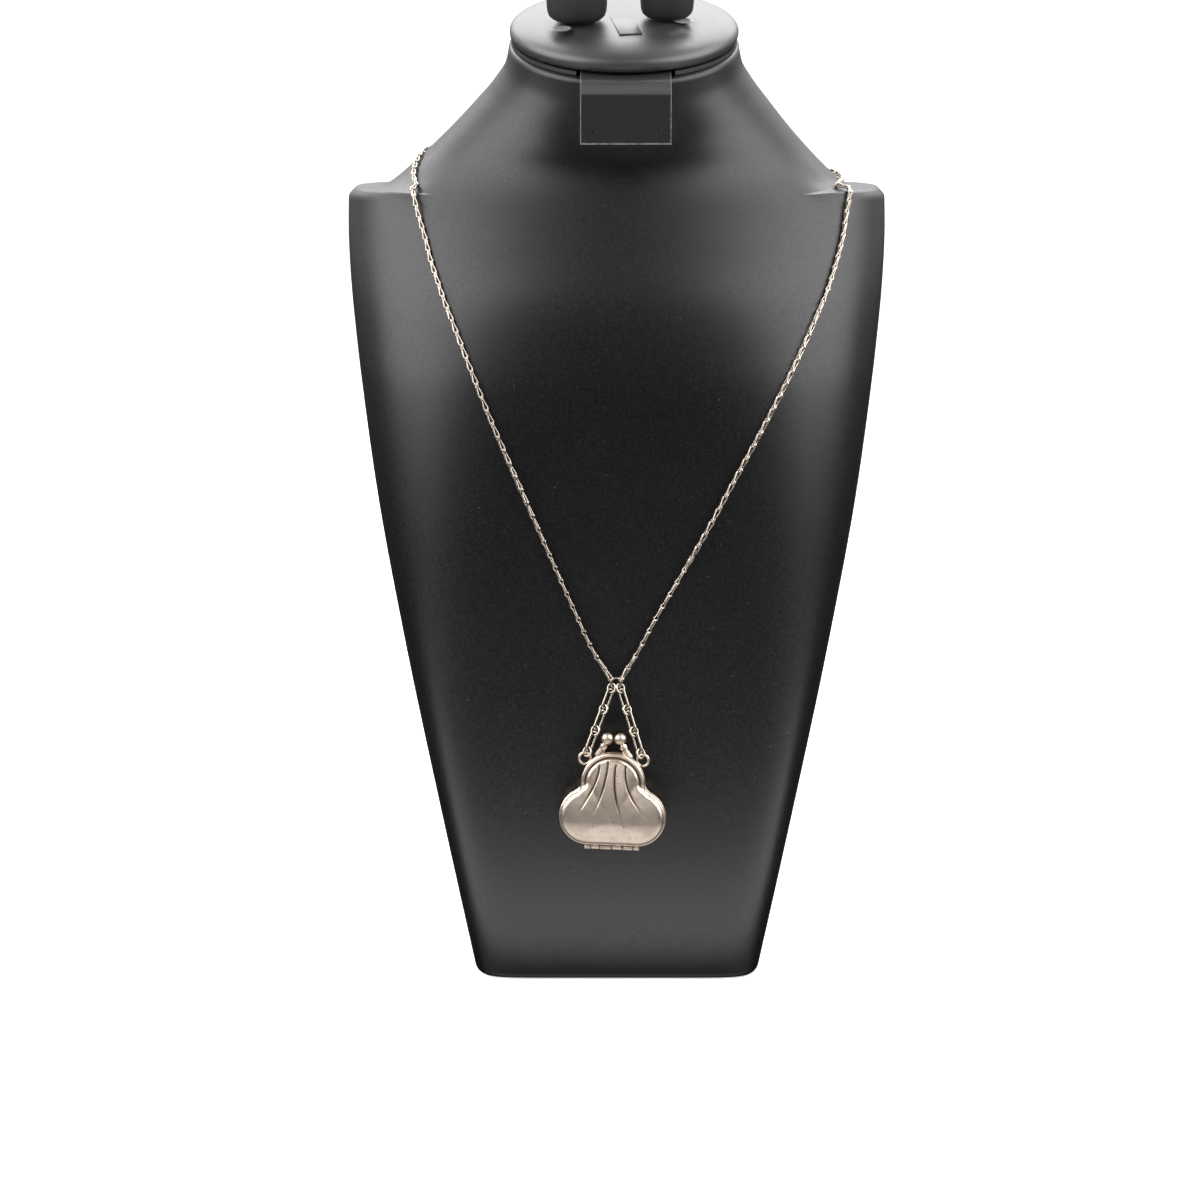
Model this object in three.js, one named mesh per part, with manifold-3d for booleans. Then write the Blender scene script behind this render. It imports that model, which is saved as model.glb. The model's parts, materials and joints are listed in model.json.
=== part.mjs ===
// Purse-shaped locket on two short handle chains and a long neck chain, shown on a plain neck bust.
// Millimetres, +Z up, the front faces -Y, and the origin is the middle of the bust's underside.
import * as THREE from 'three';
import { mergeVertices } from 'three/addons/utils/BufferGeometryUtils.js';
import Module from 'manifold-3d';

const wasm = await Module();
wasm.setup();

// Clearance between neighbouring pieces, and how far a cutting tool runs past what it cuts
const gap = 0.3;
const overcut = 4;
const degrees = Math.PI / 180;

// Bust: half width, front, back and widest depth of each level section, and how square it is in front
// and at the rear
const chestRows = [
  { height: 0, halfWidth: 50, front: -49, back: 60, middle: 4, square: 10, rear: 5 },
  { height: 59.7, halfWidth: 63.4, front: -46.4, back: 64, middle: 8, square: 7, rear: 5 },
  { height: 114.6, halfWidth: 75.5, front: -43.1, back: 68, middle: 12.5, square: 4.8, rear: 5 },
  { height: 164.3, halfWidth: 85.2, front: -40.2, back: 72, middle: 17.5, square: 3.5, rear: 4.5 },
  { height: 204, halfWidth: 91.2, front: -36.5, back: 75, middle: 23.5, square: 2.75, rear: 4 },
  { height: 220, halfWidth: 93.3, front: -33.2, back: 76.5, middle: 27, square: 2.48, rear: 3.7 },
  { height: 233.8, halfWidth: 94.9, front: -28.8, back: 78, middle: 30.5, square: 2.28, rear: 3.5 },
  { height: 245, halfWidth: 95.9, front: -23, back: 79, middle: 34, square: 2.12, rear: 3.3 },
  { height: 254.6, halfWidth: 96.5, front: -16.5, back: 80, middle: 38, square: 2.02, rear: 3.2 },
  { height: 265.5, halfWidth: 96.7, front: -9, back: 81, middle: 43.5, square: 2, rear: 3 },
  { height: 268.6, halfWidth: 94.3, front: -7, back: 81.5, middle: 45, square: 2, rear: 3 },
];
// The neck's sections tip forward more and more, by the angle in degrees
const neckRows = [
  { height: 268.9, halfWidth: 84.2, front: -6.9, back: 81.5, middle: 45.3, square: 2.15, rear: 2.8, tip: 0 },
  { height: 271.6, halfWidth: 80.1, front: -5.4, back: 81.6, middle: 45, square: 2.14, rear: 2.7, tip: 0.8 },
  { height: 276.8, halfWidth: 74.1, front: -3.8, back: 81.4, middle: 44, square: 2.12, rear: 2.5, tip: 2.5 },
  { height: 284.1, halfWidth: 66.4, front: -3, back: 80.6, middle: 42.3, square: 2.08, rear: 2.3, tip: 5.5 },
  { height: 291.4, halfWidth: 59.3, front: -3.4, back: 79.4, middle: 40, square: 2.04, rear: 2.15, tip: 8.5 },
  { height: 298.6, halfWidth: 52.8, front: -4.5, back: 77.9, middle: 37.8, square: 2, rear: 2.05, tip: 11.5 },
  { height: 305.8, halfWidth: 46.6, front: -6, back: 76.2, middle: 35.5, square: 2, rear: 2, tip: 14 },
  { height: 313, halfWidth: 42, front: -7.4, back: 74.4, middle: 33.2, square: 2, rear: 2, tip: 16 },
  { height: 320, halfWidth: 40.5, front: -8.5, back: 72.5, middle: 32, square: 2, rear: 2, tip: 17 },
];
const bustRows = [...chestRows.map((row) => ({ ...row, tip: 0 })), ...neckRows];
const bustSides = 56;
const footRounding = { rise: 2, inset: 1.5 };
const neckTop = neckRows[neckRows.length - 1];
// The neck stands a little to the right of the chest
const neckLean = { across: 2.5, from: 266, to: 312 };

// Top of the neck: notched collar, moulded cap with a raised middle, bent earring plate and two pads
const collar = { radius: 40, thickness: 1.4, notchWidth: 34, notchFrom: -29 };
const capProfile = [
  { radius: 0, height: 0 }, { radius: 38.8, height: 0 }, { radius: 40.2, height: 1.4 },
  { radius: 40.4, height: 3 }, { radius: 39.6, height: 4.6 }, { radius: 37, height: 5.9 },
  { radius: 32, height: 6.8 }, { radius: 27.5, height: 7 }, { radius: 25.2, height: 7.6 },
  { radius: 23.4, height: 8.3 }, { radius: 0, height: 8.5 },
];
const capTab = { width: 8.5, length: 20, rise: 0.5, front: -23, turn: 9 };
const capSides = 56;
const plate = { across: 0.3, width: 31.2, thickness: 0.9, tabFrom: -31, bendFrom: -43.5, panel: 16.6 };
const plateBend = { radius: 5, steps: 8 };
const plateHole = { across: 10.8, up: 4.5, radius: 0.65, sides: 10 };
const padProfile = [
  { radius: 0, height: 0 }, { radius: 7.6, height: 0 }, { radius: 9.4, height: 1.4 },
  { radius: 10, height: 5 }, { radius: 10, height: 14 }, { radius: 9, height: 18.4 },
  { radius: 6, height: 21 }, { radius: 0, height: 21.8 },
];
const pads = [
  { name: 'cap_pad_left', across: -16.6, back: -7.5, widthShare: 1.06 },
  { name: 'cap_pad_right', across: 15, back: -4.5, widthShare: 0.94 },
];
const pad = { depthShare: 0.8, sides: 20 };

// Neck chain: its route on the bust as a turn round the section, in degrees from +X, a height, and a lift
// where it crosses the edge of a shoulder
const chain = { radius: 0.9, sides: 8, steps: 40, routeSteps: 80 };
const leftRoute = [
  { turn: -93.3, height: 108.5 }, { turn: -98.1, height: 115.4 }, { turn: -106.3, height: 134.1 },
  { turn: -112.6, height: 150.6 }, { turn: -119.6, height: 171 }, { turn: -125.9, height: 191.1 },
  { turn: -131.8, height: 210.8 }, { turn: -137.1, height: 226.3 }, { turn: -141.8, height: 237.7 },
  { turn: -147, height: 249 }, { turn: -151.4, height: 260.7 },
  { turn: -153.6, height: 267.2, lift: 0.9 }, { turn: -158.2, height: 270.4, lift: 0.9 },
  { turn: -163, height: 273 }, { turn: -167.3, height: 275.6 }, { turn: -171.2, height: 277.7 },
  { turn: -175, height: 279.6 }, { turn: -182, height: 280.6 }, { turn: -192, height: 280.4 },
  { turn: -205, height: 280.2 }, { turn: -224, height: 280.6 }, { turn: -248, height: 282 },
  { turn: -263, height: 282 },
];
const rightRoute = [
  { turn: -87.4, height: 108.5 }, { turn: -82.8, height: 116.1 }, { turn: -75.9, height: 129.5 },
  { turn: -69.7, height: 141 }, { turn: -61.9, height: 157.5 }, { turn: -55.5, height: 173.6 },
  { turn: -49.4, height: 189.6 }, { turn: -43.5, height: 205.3 }, { turn: -38.9, height: 216.8 },
  { turn: -34, height: 228.3 }, { turn: -29.2, height: 238.3 }, { turn: -25.7, height: 245.9 },
  { turn: -22.4, height: 253.6 }, { turn: -20.5, height: 261.5 },
  { turn: -19.2, height: 266.3, lift: 0.8 }, { turn: -14.5, height: 269.6, lift: 1 },
  { turn: -7, height: 270.6, lift: 0.6 }, { turn: 1, height: 271.5, lift: 0.2 },
  { turn: 10, height: 272.6 }, { turn: 20, height: 273.6 }, { turn: 42, height: 276.5 },
  { turn: 66, height: 280.5 }, { turn: 83, height: 282 },
];
const claspProfile = [
  { radius: 0, along: -4.2 }, { radius: 0.9, along: -4.2 }, { radius: 1.3, along: -3.2 },
  { radius: 1.3, along: 3.2 }, { radius: 0.9, along: 4.2 }, { radius: 0, along: 4.2 },
];
const claspSides = 12;

// Purse: its flat bottom lies along the local X axis, it stands along local Z and its halves part at y = 0
const purse = { across: -1.9, standOff: 7, height: 50.3, lean: -3.43, tilt: 1, yaw: -6 };
const body = { flat: 8.55, radius: 9.85, shoulderTurn: 62 };
const arch = { halfWidth: 10.95, springHeight: 21.9, rise: 10.45, footHeight: 20.25, easeHeight: 19.85 };
const purseMiddle = { x: 0, z: 14.5 };
const outlineCount = 52;
// How far the frame rim fades out below and above the foot of the arch
const rimFade = { below: 0.6, above: 1.8 };

// Sections through the walls from the rim inwards: inset from the outline and depth from the parting plane,
// in the arch and in the body below it
const frontOutside = [
  { archInset: 0, archDepth: 0.15, bodyInset: 0, bodyDepth: 0.15 },
  { archInset: 0, archDepth: 1.6, bodyInset: 0, bodyDepth: 1.6 },
  { archInset: 0.3, archDepth: 2, bodyInset: 0.2, bodyDepth: 2.1 },
  { archInset: 0.7, archDepth: 1.9, bodyInset: 0.5, bodyDepth: 2.6 },
  { archInset: 0.95, archDepth: 1.4, bodyInset: 0.9, bodyDepth: 3 },
  { archInset: 1.35, archDepth: 1.4, bodyInset: 1.3, bodyDepth: 3.25 },
  { archInset: 1.6, archDepth: 2.2, bodyInset: 1.7, bodyDepth: 3.45 },
  { archInset: 2.2, archDepth: 2.8, bodyInset: 2.5, bodyDepth: 3.7 },
  { archInset: 3.3, archDepth: 3.1, bodyInset: 3.6, bodyDepth: 3.9 },
];
const frontInside = [
  { archInset: 0.9, archDepth: 0.15, bodyInset: 0.9, bodyDepth: 0.15 },
  { archInset: 1, archDepth: 0.55, bodyInset: 1, bodyDepth: 1.9 },
  { archInset: 1.7, archDepth: 0.6, bodyInset: 1.7, bodyDepth: 2.5 },
  { archInset: 2.6, archDepth: 1.8, bodyInset: 2.7, bodyDepth: 2.85 },
  { archInset: 3.6, archDepth: 2.25, bodyInset: 3.8, bodyDepth: 3.05 },
];
const backOutside = [
  { archInset: 0, archDepth: 0.15, bodyInset: 0, bodyDepth: 0.15 },
  { archInset: 0, archDepth: 2, bodyInset: 0, bodyDepth: 2 },
  { archInset: 0.3, archDepth: 2.7, bodyInset: 0.3, bodyDepth: 2.7 },
  { archInset: 1, archDepth: 3.3, bodyInset: 1, bodyDepth: 3.3 },
  { archInset: 2.2, archDepth: 3.6, bodyInset: 2.2, bodyDepth: 3.6 },
];
const backInside = [
  { archInset: 0.9, archDepth: 0.15, bodyInset: 0.9, bodyDepth: 0.15 },
  { archInset: 1, archDepth: 1.9, bodyInset: 1, bodyDepth: 1.9 },
  { archInset: 1.7, archDepth: 2.6, bodyInset: 1.7, bodyDepth: 2.6 },
  { archInset: 2.6, archDepth: 2.8, bodyInset: 2.6, bodyDepth: 2.8 },
];
const frontMiddle = { outside: 4.2, inside: 3.3 };
const backMiddle = { outside: 3.8, inside: 2.95 };
const fieldShares = [0.55];

// Pleats: the ends of each fold and the two handles of its curve, across and up
const pleats = [
  { topX: -4.55, topZ: 28.6, upperX: -4.3, upperZ: 22.6, lowerX: -8.6, lowerZ: 17.2, endX: -11.3, endZ: 11.3 },
  { topX: -1.5, topZ: 30, upperX: -1.7, upperZ: 23.6, lowerX: -3.65, lowerZ: 17.3, endX: -6.2, endZ: 11.4 },
  { topX: 1.2, topZ: 28.55, upperX: 0.15, upperZ: 21.3, lowerX: 1.45, lowerZ: 13.9, endX: 4.6, endZ: 7.3 },
  { topX: 4.7, topZ: 28.95, upperX: 3.4, upperZ: 22, lowerX: 7.15, lowerZ: 15.7, endX: 11.6, endZ: 10.7 },
];
const pleatCut = { halfWidth: 0.45, depth: 0.4, rise: 0.6, taper: 0.6, stations: 10 };

// Hinge along the bottom: knuckles from left to right, turn about a pin below the parting plane
const hinge = { drop: 1, knuckleRadius: 0.78, boreRadius: 0.48, pinRadius: 0.26, slit: 0.3, sides: 10 };
const knuckles = [
  { length: 2, half: 'back' }, { length: 2.9, half: 'front' }, { length: 3.8, half: 'back' },
  { length: 3.4, half: 'front' }, { length: 3.4, half: 'back' }, { length: 2, half: 'front' },
];
const knuckleTotal = knuckles.reduce((sum, row) => sum + row.length, 0);
const hingeLength = knuckleTotal + hinge.slit * (knuckles.length - 1);
const leaf = { height: 1.5, near: 0.3, depth: 1.1 };

// Ball clasp on two slanted posts, and the ear rings of the handles
const ball = { across: 2.2, height: 37.55, radius: 2, sides: 14, rings: 9 };
const post = { across: 5, height: 31, depth: 0.9, footHalf: 1.7, neckHalf: 0.75, flatShare: 0.5, sides: 10 };
const postCollar = { radius: 1.25, from: 3.7, length: 1.5 };
const ear = { across: 10, height: 29.8, radius: 2, wire: 0.42, depth: 1 };
const roundSides = 14;
const wireSides = 6;

// Handle chains: seven links each, small and long in turn, between the jump ring and an ear
const ring = { across: -0.5, height: 105.6, standOff: 2.1, radius: 1.8, wire: 0.32, holdTurn: 46 };
const link = { wire: 0.35, smallInside: 2.5, longInside: 6.15, longHalfWidth: 1, sides: 12, count: 7 };
const linkTurn = { small: -60, long: 26 };

const finishes = {
  leatherette: { color: 0x202124, roughness: 0.5, metalness: 0 },
  plastic: { color: 0x1b1c1e, roughness: 0.4, metalness: 0 },
  silver: { color: 0xb0a596, roughness: 0.35, metalness: 1 },
};

const part = new THREE.Group();

function addPiece(parent, name, geometry, finish) {
  const mesh = new THREE.Mesh(geometry, new THREE.MeshStandardMaterial(finishes[finish]));
  mesh.name = name;
  parent.add(mesh);
  return mesh;
}

// Keep positions only and share equal corners, so that a closed surface is one body
function weld(geometry) {
  const plain = geometry.clone();
  plain.deleteAttribute('normal');
  plain.deleteAttribute('uv');
  return mergeVertices(plain, 1e-4);
}

function solid(geometry) {
  const plain = weld(geometry);
  const vertProperties = new Float32Array(plain.attributes.position.array);
  const triVerts = new Uint32Array(plain.index.array);
  return new wasm.Manifold(new wasm.Mesh({ numProp: 3, vertProperties, triVerts }));
}

function fromSolid(shape) {
  const mesh = shape.getMesh();
  const geometry = new THREE.BufferGeometry();
  geometry.setAttribute('position', new THREE.BufferAttribute(new Float32Array(mesh.vertProperties), 3));
  geometry.setIndex(new THREE.BufferAttribute(new Uint32Array(mesh.triVerts), 1));
  geometry.computeVertexNormals();
  return geometry;
}

// Closed skin over rings of equal count, ended by one point at each end; faces turn outwards
function skin(firstPoint, rings, lastPoint) {
  const count = rings[0].length;
  const points = [firstPoint, ...rings.flat(), lastPoint];
  const last = points.length - 1;
  const faces = [];
  for (let i = 0; i < count; i += 1) {
    const next = (i + 1) % count;
    faces.push(0, 1 + next, 1 + i);
    for (let k = 0; k + 1 < rings.length; k += 1) {
      const low = 1 + k * count;
      const high = low + count;
      faces.push(low + i, low + next, high + next, low + i, high + next, high + i);
    }
    const end = last - count;
    faces.push(end + i, end + next, last);
  }
  const geometry = new THREE.BufferGeometry();
  geometry.setAttribute('position', new THREE.Float32BufferAttribute(points.flatMap((p) => p.toArray()), 3));
  geometry.setIndex(faces);
  geometry.computeVertexNormals();
  return geometry;
}

function lathe(profile, sides) {
  return new THREE.LatheGeometry(profile.map((row) => new THREE.Vector2(row.radius, row.height)), sides)
    .rotateX(Math.PI / 2);
}

// Bust
function sectionAt(height) {
  const found = bustRows.findIndex((row) => row.height >= height);
  const above = found < 1 ? 1 : found;
  const low = bustRows[above - 1];
  const high = bustRows[above];
  const share = (height - low.height) / (high.height - low.height);
  const between = (name) => THREE.MathUtils.lerp(low[name], high[name], share);
  return Object.fromEntries(Object.keys(high).map((name) => [name, between(name)]));
}

function bustPoint(section, turn, inset = 0) {
  const across = Math.cos(turn);
  const along = Math.sin(turn);
  const square = along < 0 ? section.square : section.rear;
  const reach = (along < 0 ? section.middle - section.front : section.back - section.middle) - inset;
  const halfWidth = section.halfWidth - inset;
  const spread = Math.abs(across / halfWidth) ** square + Math.abs(along / reach) ** square;
  const radius = spread ** (-1 / square);
  const depth = radius * along;
  const rise = depth * Math.tan(section.tip * degrees);
  const lean = neckLean.across * THREE.MathUtils.smoothstep(section.height, neckLean.from, neckLean.to);
  return new THREE.Vector3(radius * across + lean, section.middle + depth, section.height + rise);
}

function bustRing(section, inset) {
  const step = (2 * Math.PI) / bustSides;
  return Array.from({ length: bustSides }, (_, i) => bustPoint(section, i * step, inset));
}

function bustBody() {
  const foot = bustRing(bustRows[0], footRounding.inset);
  const rounded = bustRing(sectionAt(footRounding.rise), 0);
  const rings = [foot, rounded, ...bustRows.slice(1).map((row) => bustRing(row, 0))];
  const under = new THREE.Vector3(0, bustRows[0].middle, 0);
  const over = new THREE.Vector3(neckLean.across, neckTop.middle, neckTop.height);
  return skin(under, rings, over);
}

// Point at a distance off the bust's surface
function offBust({ turn, height }, distance) {
  const angle = turn * degrees;
  const reach = { turn: 0.03, height: 2.5 };
  const at = (a, h) => bustPoint(sectionAt(h), a);
  const round = at(angle + reach.turn, height).sub(at(angle - reach.turn, height));
  const up = at(angle, height + reach.height).sub(at(angle, height - reach.height));
  const normal = round.cross(up).normalize();
  return at(angle, height).addScaledVector(normal, distance);
}

// Top of the neck
function notchedCollar() {
  const disc = lathe([
    { radius: 0, height: 0 }, { radius: collar.radius, height: 0 },
    { radius: collar.radius, height: collar.thickness }, { radius: 0, height: collar.thickness },
  ], capSides);
  const notchLength = collar.radius + collar.notchFrom + overcut;
  const notch = new THREE.BoxGeometry(collar.notchWidth, notchLength, 2 * (collar.thickness + overcut))
    .translate(plate.across, collar.notchFrom - notchLength / 2, 0);
  return fromSolid(solid(disc).subtract(solid(notch)));
}

function mouldedCap() {
  const topRow = capProfile[capProfile.length - 1];
  const tab = new THREE.BoxGeometry(capTab.width, capTab.length, 2 * capTab.rise)
    .rotateZ(capTab.turn * degrees)
    .translate(0, capTab.front + capTab.length / 2, topRow.height);
  return fromSolid(solid(lathe(capProfile, capSides)).add(solid(tab)));
}

function bentPlate() {
  const sweep = Math.PI / 2 - neckTop.tip * degrees;
  const outer = plateBend.radius + plate.thickness / 2;
  const inner = plateBend.radius - plate.thickness / 2;
  const along = new THREE.Vector2(Math.cos(sweep), Math.sin(sweep)).multiplyScalar(plate.panel);
  const side = new THREE.Shape();
  side.moveTo(-plate.tabFrom, plate.thickness / 2);
  side.lineTo(-plate.bendFrom, plate.thickness / 2);
  side.absarc(-plate.bendFrom, -plateBend.radius, outer, Math.PI / 2, Math.PI / 2 - sweep, true);
  const end = side.currentPoint.clone();
  side.lineTo(end.x + along.x, end.y - along.y);
  const inside = new THREE.Vector2(Math.sin(sweep), Math.cos(sweep)).multiplyScalar(plate.thickness);
  side.lineTo(end.x + along.x - inside.x, end.y - along.y - inside.y);
  side.lineTo(end.x - inside.x, end.y - inside.y);
  side.absarc(-plate.bendFrom, -plateBend.radius, inner, Math.PI / 2 - sweep, Math.PI / 2, false);
  side.lineTo(-plate.tabFrom, -plate.thickness / 2);
  const sheet = new THREE.ExtrudeGeometry(side, {
    depth: plate.width,
    bevelEnabled: false,
    curveSegments: plateBend.steps,
  })
    .translate(0, 0, -plate.width / 2)
    .rotateX(Math.PI / 2)
    .rotateZ(-Math.PI / 2);
  const share = 1 - plateHole.up / plate.panel;
  const holeAt = new THREE.Vector2(end.x + along.x * share, end.y - along.y * share);
  let cut = solid(sheet);
  for (const hand of [-1, 1]) {
    const { radius, sides } = plateHole;
    const drill = new THREE.CylinderGeometry(radius, radius, 2 * overcut, sides)
      .rotateX(neckTop.tip * degrees)
      .translate(hand * plateHole.across, -holeAt.x, holeAt.y);
    cut = cut.subtract(solid(drill));
  }
  return fromSolid(cut);
}

function capPad(row) {
  const topRow = capProfile[capProfile.length - 1];
  return lathe(padProfile, pad.sides)
    .scale(row.widthShare, row.widthShare * pad.depthShare, 1)
    .translate(row.across, row.back, topRow.height + 2 * gap);
}

function buildStand() {
  addPiece(part, 'bust_body', bustBody(), 'leatherette');
  const head = new THREE.Group();
  head.position.set(neckLean.across, neckTop.middle, neckTop.height);
  head.rotation.x = neckTop.tip * degrees;
  part.add(head);
  addPiece(head, 'neck_collar', notchedCollar(), 'plastic').position.z = gap;
  const capFoot = collar.thickness + 2 * gap;
  addPiece(head, 'neck_cap', mouldedCap(), 'plastic').position.z = capFoot;
  addPiece(head, 'earring_plate', bentPlate(), 'plastic').position.set(plate.across, 0, capFoot / 2);
  for (const row of pads) addPiece(head, row.name, capPad(row), 'plastic').position.z = capFoot;
}

// Neck chain
function chainTube(route) {
  const rows = route.map((row) => new THREE.Vector3(row.turn, row.height, row.lift ?? 0));
  const places = new THREE.CatmullRomCurve3(rows).getPoints(chain.routeSteps)
    .map((place) => offBust({ turn: place.x, height: place.y }, chain.radius + gap + place.z));
  const corners = Array.from({ length: chain.sides }, (_, i) => {
    const angle = (i / chain.sides) * 2 * Math.PI;
    return new THREE.Vector2(chain.radius * Math.cos(angle), chain.radius * Math.sin(angle));
  });
  return new THREE.ExtrudeGeometry(new THREE.Shape(corners), {
    steps: chain.steps,
    bevelEnabled: false,
    extrudePath: new THREE.CatmullRomCurve3(places),
  });
}

function barrelClasp() {
  const points = claspProfile.map((row) => new THREE.Vector2(row.radius, row.along));
  const widest = Math.max(...claspProfile.map((row) => row.radius));
  const place = offBust({ turn: 90, height: leftRoute[leftRoute.length - 1].height }, widest + gap);
  return new THREE.LatheGeometry(points, claspSides).rotateZ(-Math.PI / 2).translate(...place.toArray());
}

function buildNeckChain() {
  addPiece(part, 'neck_chain_left', chainTube(leftRoute), 'silver');
  addPiece(part, 'neck_chain_right', chainTube(rightRoute), 'silver');
  addPiece(part, 'neck_clasp', barrelClasp(), 'silver');
}

// Purse halves
function purseOutline() {
  const shape = new THREE.Shape();
  const shoulder = new THREE.Vector2(body.flat, body.radius)
    .add(new THREE.Vector2(Math.cos(body.shoulderTurn * degrees), Math.sin(body.shoulderTurn * degrees))
      .multiplyScalar(body.radius));
  shape.moveTo(0, 0);
  shape.lineTo(body.flat, 0);
  shape.absarc(body.flat, body.radius, body.radius, -Math.PI / 2, body.shoulderTurn * degrees, false);
  shape.quadraticCurveTo(arch.halfWidth, arch.easeHeight, arch.halfWidth, arch.springHeight);
  shape.absellipse(0, arch.springHeight, arch.halfWidth, arch.rise, 0, Math.PI, false, 0);
  shape.quadraticCurveTo(-arch.halfWidth, arch.easeHeight, -shoulder.x, shoulder.y);
  const leftStart = Math.PI - body.shoulderTurn * degrees;
  shape.absarc(-body.flat, body.radius, body.radius, leftStart, 1.5 * Math.PI, false);
  shape.lineTo(0, 0);
  const points = shape.getSpacedPoints(outlineCount);
  points.pop();
  return points.map((point, i) => {
    const before = points[(i + outlineCount - 1) % outlineCount];
    const after = points[(i + 1) % outlineCount];
    const along = after.clone().sub(before).normalize();
    const inward = new THREE.Vector2(-along.y, along.x);
    const foot = arch.footHeight;
    const archShare = THREE.MathUtils.smoothstep(point.y, foot - rimFade.below, foot + rimFade.above);
    return { point, inward, archShare };
  });
}

const outline = purseOutline();

function wallRing(row, side) {
  return outline.map(({ point, inward, archShare }) => {
    const inset = THREE.MathUtils.lerp(row.bodyInset, row.archInset, archShare);
    const depth = THREE.MathUtils.lerp(row.bodyDepth, row.archDepth, archShare);
    const at = point.clone().addScaledVector(inward, inset);
    return new THREE.Vector3(at.x, side * depth, at.y);
  });
}

// Rings that close in on the middle of the face, rising to its depth
function fieldRings(edge, middle) {
  return fieldShares.map((share) => edge.map((point) => {
    const inwards = point.clone().lerp(middle, 1 - share);
    inwards.y = THREE.MathUtils.lerp(middle.y, point.y, share * share);
    return inwards;
  }));
}

function shell(outsideRows, insideRows, middle, side) {
  const outside = outsideRows.map((row) => wallRing(row, side));
  const inside = insideRows.map((row) => wallRing(row, side));
  const outerPoint = new THREE.Vector3(purseMiddle.x, side * middle.outside, purseMiddle.z);
  const innerPoint = new THREE.Vector3(purseMiddle.x, side * middle.inside, purseMiddle.z);
  const outerField = fieldRings(outside[outside.length - 1], outerPoint);
  const innerField = fieldRings(inside[inside.length - 1], innerPoint);
  const rings = [...outerField.reverse(), ...outside.reverse(), ...inside, ...innerField];
  const geometry = skin(outerPoint, rings, innerPoint);
  if (side < 0) geometry.index.array.reverse();
  return geometry;
}

// Depth of a face at a point, straight in from the front
function depthOf(face, x, z) {
  const fromFront = new THREE.Vector3(x, -body.radius, z);
  const ray = new THREE.Raycaster(fromFront, new THREE.Vector3(0, 1, 0));
  return ray.intersectObject(face)[0].point.y;
}

// Tapered V-shaped tool along a fold of the front
function pleatTool(row, face) {
  const path = new THREE.CubicBezierCurve(
    new THREE.Vector2(row.topX, row.topZ),
    new THREE.Vector2(row.upperX, row.upperZ),
    new THREE.Vector2(row.lowerX, row.lowerZ),
    new THREE.Vector2(row.endX, row.endZ),
  );
  const at = (share, across, sink) => {
    const point = path.getPoint(share);
    const along = path.getTangent(share);
    const x = point.x - along.y * across;
    const z = point.y + along.x * across;
    return new THREE.Vector3(x, depthOf(face, point.x, point.y) + sink, z);
  };
  const rings = [];
  for (let i = 1; i < pleatCut.stations; i += 1) {
    const share = i / pleatCut.stations;
    const swell = Math.sin(Math.PI * share) ** pleatCut.taper;
    const wide = pleatCut.halfWidth * swell * (1 + pleatCut.rise / pleatCut.depth);
    rings.push([
      at(share, 0, pleatCut.depth * swell),
      at(share, wide, -pleatCut.rise),
      at(share, -wide, -pleatCut.rise),
    ]);
  }
  return skin(at(0, 0, -pleatCut.rise / 2), rings, at(1, 0, -pleatCut.rise / 2));
}

// Barrel pieces of one half, each with the leaf that carries it
function knuckleSolids(half) {
  const side = half === 'front' ? -1 : 1;
  const pieces = [];
  let start = -hingeLength / 2;
  for (const row of knuckles) {
    const middle = start + row.length / 2;
    if (row.half === half) {
      const radius = hinge.knuckleRadius;
      const barrel = new THREE.CylinderGeometry(radius, radius, row.length, hinge.sides)
        .rotateZ(Math.PI / 2)
        .translate(middle, 0, -hinge.drop);
      const wing = new THREE.BoxGeometry(row.length, leaf.depth, leaf.height)
        .translate(middle, side * (leaf.near + leaf.depth / 2), -hinge.drop + leaf.height / 2);
      pieces.push(barrel, wing);
    }
    start += row.length + hinge.slit;
  }
  return pieces;
}

function hingeRod(radius, overhang) {
  return new THREE.CylinderGeometry(radius, radius, hingeLength + 2 * overhang, hinge.sides)
    .rotateZ(Math.PI / 2)
    .translate(0, 0, -hinge.drop);
}

// Slanted post with a tapered foot, a collar and a ball
function claspPost(hand, side) {
  const foot = new THREE.Vector3(hand * post.across, side * post.depth, post.height);
  const head = new THREE.Vector3(hand * ball.across, 0, ball.height);
  const length = foot.distanceTo(head);
  const lay = new THREE.Quaternion()
    .setFromUnitVectors(new THREE.Vector3(0, 1, 0), head.clone().sub(foot).normalize());
  const stem = new THREE.CylinderGeometry(post.neckHalf, post.footHalf, length, post.sides)
    .scale(1, 1, post.flatShare)
    .translate(0, length / 2, 0);
  const { radius, from, length: bandLength } = postCollar;
  const band = new THREE.CylinderGeometry(radius, radius, bandLength, post.sides)
    .translate(0, from + bandLength / 2, 0);
  const knob = new THREE.SphereGeometry(ball.radius, ball.sides, ball.rings).translate(0, length, 0);
  return [stem, band, knob].map((piece) => piece.applyQuaternion(lay).translate(...foot.toArray()));
}

function earRings() {
  return [-1, 1].map((hand) => new THREE.TorusGeometry(ear.radius, ear.wire, wireSides, roundSides)
    .rotateX(Math.PI / 2)
    .translate(hand * ear.across, ear.depth, ear.height));
}

function purseHalf(half) {
  const front = half === 'front';
  const side = front ? -1 : 1;
  const wall = front
    ? shell(frontOutside, frontInside, frontMiddle, side)
    : shell(backOutside, backInside, backMiddle, side);
  let whole = solid(wall);
  if (front) {
    const face = new THREE.Mesh(wall);
    for (const row of pleats) whole = whole.subtract(solid(pleatTool(row, face)));
  }
  const soldered = [...knuckleSolids(half), ...claspPost(-side, side)];
  if (!front) soldered.push(...earRings());
  for (const piece of soldered) whole = whole.add(solid(piece));
  return fromSolid(whole.subtract(solid(hingeRod(hinge.boreRadius, overcut))));
}

const purseGroup = new THREE.Group();

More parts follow.
